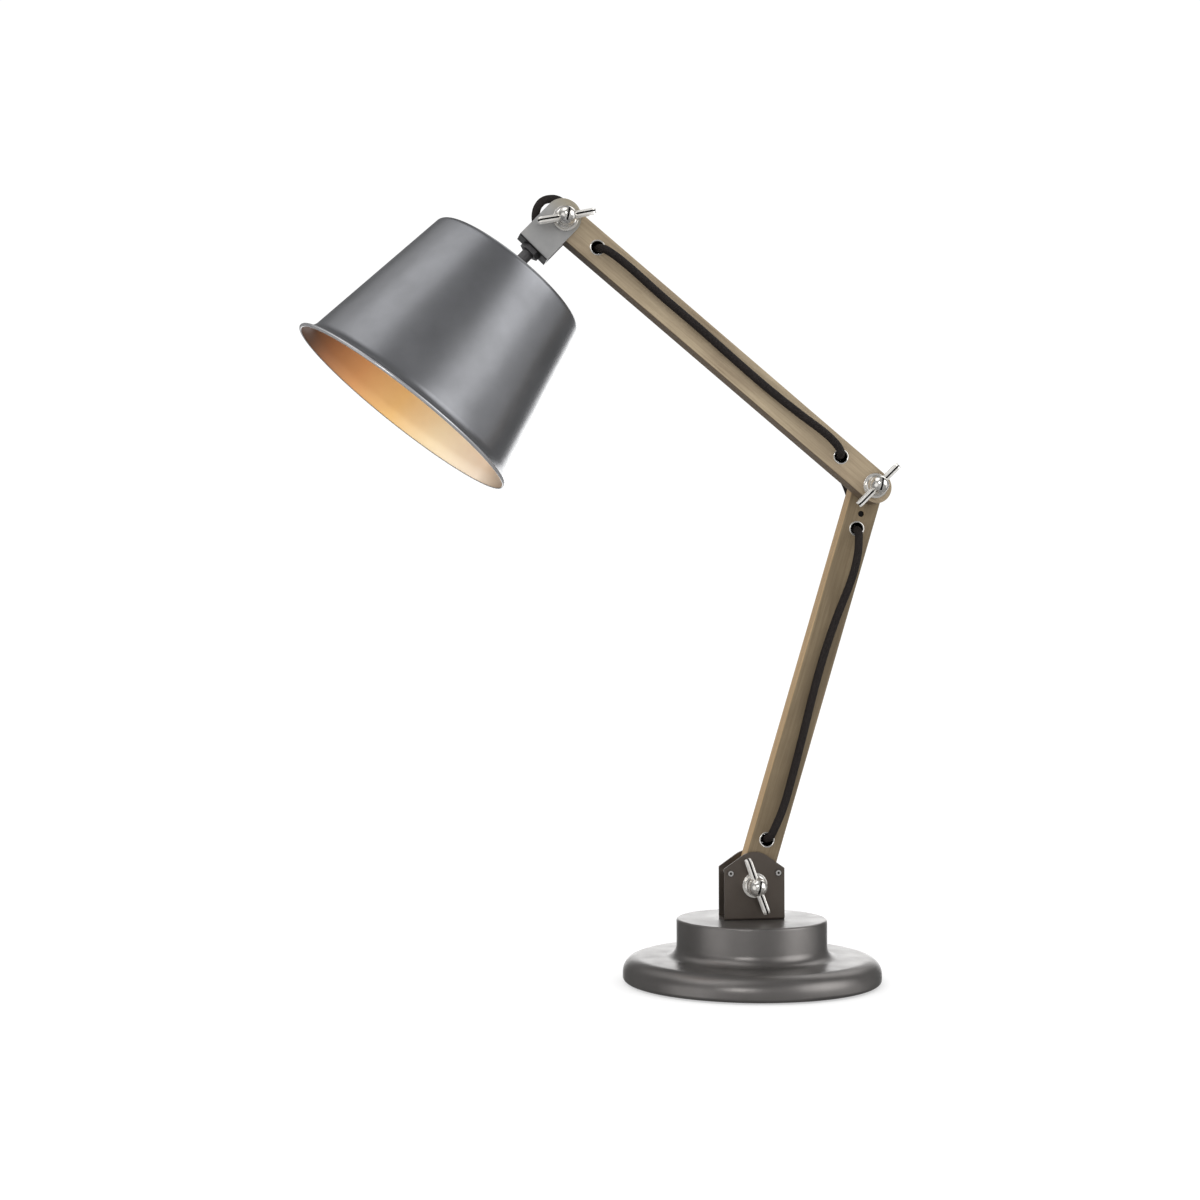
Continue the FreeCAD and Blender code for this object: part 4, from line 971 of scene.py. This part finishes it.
NODE_LOOKS = {
    "base": ["base_shell"],
    "iron": ["ballast_weight"],
    "rubber": ["foot_pad", "base_cable_grommet", "mains_inlet_bush"],
    "bracket": ["base_bracket"],
    "steel": [
        "bracket_screws", "bracket_nuts", "centre_bolt", "centre_nut", "base_plate_screws",
        "stem_top_nut", "shade_lock_nut",
    ],
    "pin": ["stop_pins"],
    "black_steel": ["elbow_stop_screw"],
    "stem": ["stem_tube", "stem_lock_nut", "base_plate"],
    "clevis": ["head_bracket"],
    "nickel": [
        "base_wing_nut", "elbow_wing_nut", "head_wing_nut", "base_front_washer",
        "elbow_front_washer", "elbow_rear_washer", "head_front_washer", "base_pivot_bolt",
        "elbow_bolt", "head_pivot_bolt", "lower_arm_eyelets", "upper_arm_eyelets",
    ],
    "fibre": ["base_friction_washers", "elbow_friction_washer", "head_friction_washers"],
    "lower_wood": ["lower_arm_bar"],
    "upper_wood": ["upper_arm_bar"],
    "cable": [
        "cable_in_base", "cable_base_loop", "cable_lower_arm", "cable_elbow_loop",
        "cable_upper_arm", "cable_head_loop", "cable_in_stem",
    ],
    "plastic": ["terminal_block", "lampholder_insert"],
    "bakelite": ["lampholder_body"],
    "brass": ["lampholder_sleeve", "centre_contact", "bulb_cap"],
    "glass": ["bulb_glass"],
    "shade": ["shade"],
}


def paint_nodes():
    for key, names in NODE_LOOKS.items():
        for name in names:
            node = frame["nodes"][name]
            node.data.materials.clear()
            node.data.materials.append(MATERIALS[key])


paint_nodes()


# ---- studio ------------------------------------------------------------------------------------


def make_floor():
    """Wide pale floor."""
    data = bmesh.new()
    size = 12
    corners = [(-size, -size), (size, -size), (size, size), (-size, size)]
    data.faces.new([data.verts.new((x, y, 0)) for x, y in corners])
    mesh = bpy.data.meshes.new("floor")
    data.to_mesh(mesh)
    data.free()
    look = Look("floor_white", (0.5, 0.5, 0.5, 1), 0.9, Emission_Color=(1, 1, 1, 1), Emission_Strength=0.5)
    look.color(look.ramp(look.noise(3), [(0.3, (0.49, 0.49, 0.49, 1)), (0.7, (0.51, 0.51, 0.51, 1))]))
    mesh.materials.append(look.material)
    floor = bpy.data.objects.new("floor", mesh)
    bpy.context.scene.collection.objects.link(floor)
    floor.visible_glossy = False


def softbox(name, location, target, size, power):
    data = bpy.data.lights.new(name, "AREA")
    data.shape = "RECTANGLE"
    data.size, data.size_y = size
    data.energy = power
    light = bpy.data.objects.new(name, data)
    bpy.context.scene.collection.objects.link(light)
    light.location = location
    light.rotation_euler = (Vector(target) - Vector(location)).to_track_quat("-Z", "Y").to_euler()
    light.visible_camera = False
    light.visible_glossy = False


class Sky(Look):
    """World nodes: plain white for all rays but reflections, which see a dim studio."""

    def __init__(self):
        world = bpy.data.worlds.new("studio")
        bpy.context.scene.world = world
        world.use_nodes = True
        self.tree = world.node_tree
        self.tree.nodes.clear()
        self.coords = self.node("ShaderNodeTexCoord").outputs["Generated"]

    def patch(self, direction, inner, outer, strength):
        """Soft round patch of light seen in a direction; inner and outer are half-angles."""
        dot = self.node("ShaderNodeVectorMath", operation="DOT_PRODUCT")
        self.link(self.coords, dot.inputs[0])
        dot.inputs[1].default_value = Vector(direction).normalized()
        made = self.node("ShaderNodeMapRange", interpolation_type="SMOOTHSTEP")
        made.inputs["From Min"].default_value = math.cos(math.radians(outer))
        made.inputs["From Max"].default_value = math.cos(math.radians(inner))
        made.inputs["To Min"].default_value = 0
        made.inputs["To Max"].default_value = strength
        self.link(dot.outputs["Value"], made.inputs["Value"])
        return made.outputs["Result"]

    def total(self, values, start):
        result = None
        for value in values:
            adder = self.node("ShaderNodeMath", operation="ADD")
            if result is None:
                adder.inputs[0].default_value = start
            else:
                self.link(result, adder.inputs[0])
            self.link(value, adder.inputs[1])
            result = adder.outputs["Value"]
        return result


def make_world():
    sky = Sky()
    patches = [
        sky.patch((-0.45, -0.15, 0.88), 8, 30, 1.4),
        sky.patch((0.80, -0.52, 0.30), 10, 32, 2.35),
        sky.patch((-0.92, -0.38, -0.10), 8, 34, 0.75),
        sky.patch((0.50, 0.48, 0.71), 6, 24, 1.3),
        sky.patch((-0.50, 0.42, 0.76), 6, 24, 0.6),
        sky.patch((0.24, 0.97, 0.02), 9, 25, 2.7),
        sky.patch((0.0, -0.97, -0.20), 10, 60, 0.22),
        sky.patch((0.97, -0.08, -0.22), 8, 20, 0.6),
        sky.patch((-0.40, -0.86, 0.32), 5, 12, 6.0),
    ]
    glow = sky.total(patches, 0.16)
    studio = sky.node("ShaderNodeBackground")
    studio.inputs["Color"].default_value = (1, 1, 1, 1)
    sky.link(glow, studio.inputs["Strength"])
    white = sky.node("ShaderNodeBackground")
    white.inputs["Color"].default_value = (1, 1, 1, 1)
    white.inputs["Strength"].default_value = 1.05
    rays = sky.node("ShaderNodeLightPath")
    mixed = sky.node("ShaderNodeMixShader")
    sky.link(rays.outputs["Is Glossy Ray"], mixed.inputs["Fac"])
    sky.link(white.outputs["Background"], mixed.inputs[1])
    sky.link(studio.outputs["Background"], mixed.inputs[2])
    output = sky.node("ShaderNodeOutputWorld")
    sky.link(mixed.outputs["Shader"], output.inputs["Surface"])


def make_studio():
    scene = bpy.context.scene
    scene.view_settings.view_transform = "Standard"
    scene.view_settings.look = "None"
    scene.view_settings.exposure = 0
    make_floor()
    make_world()
    softbox("key_light", (-1.2, -1.6, 1.9), (-0.05, 0, 0.3), (0.9, 0.9), 12)
    softbox("fill_light", (1.6, -1.2, 0.9), (-0.05, 0, 0.3), (0.8, 0.8), 5)
    softbox("mouth_light", (-0.52, -0.30, 0.06), (-0.19, 0.03, 0.43), (0.3, 0.2), 1.0)


make_studio()
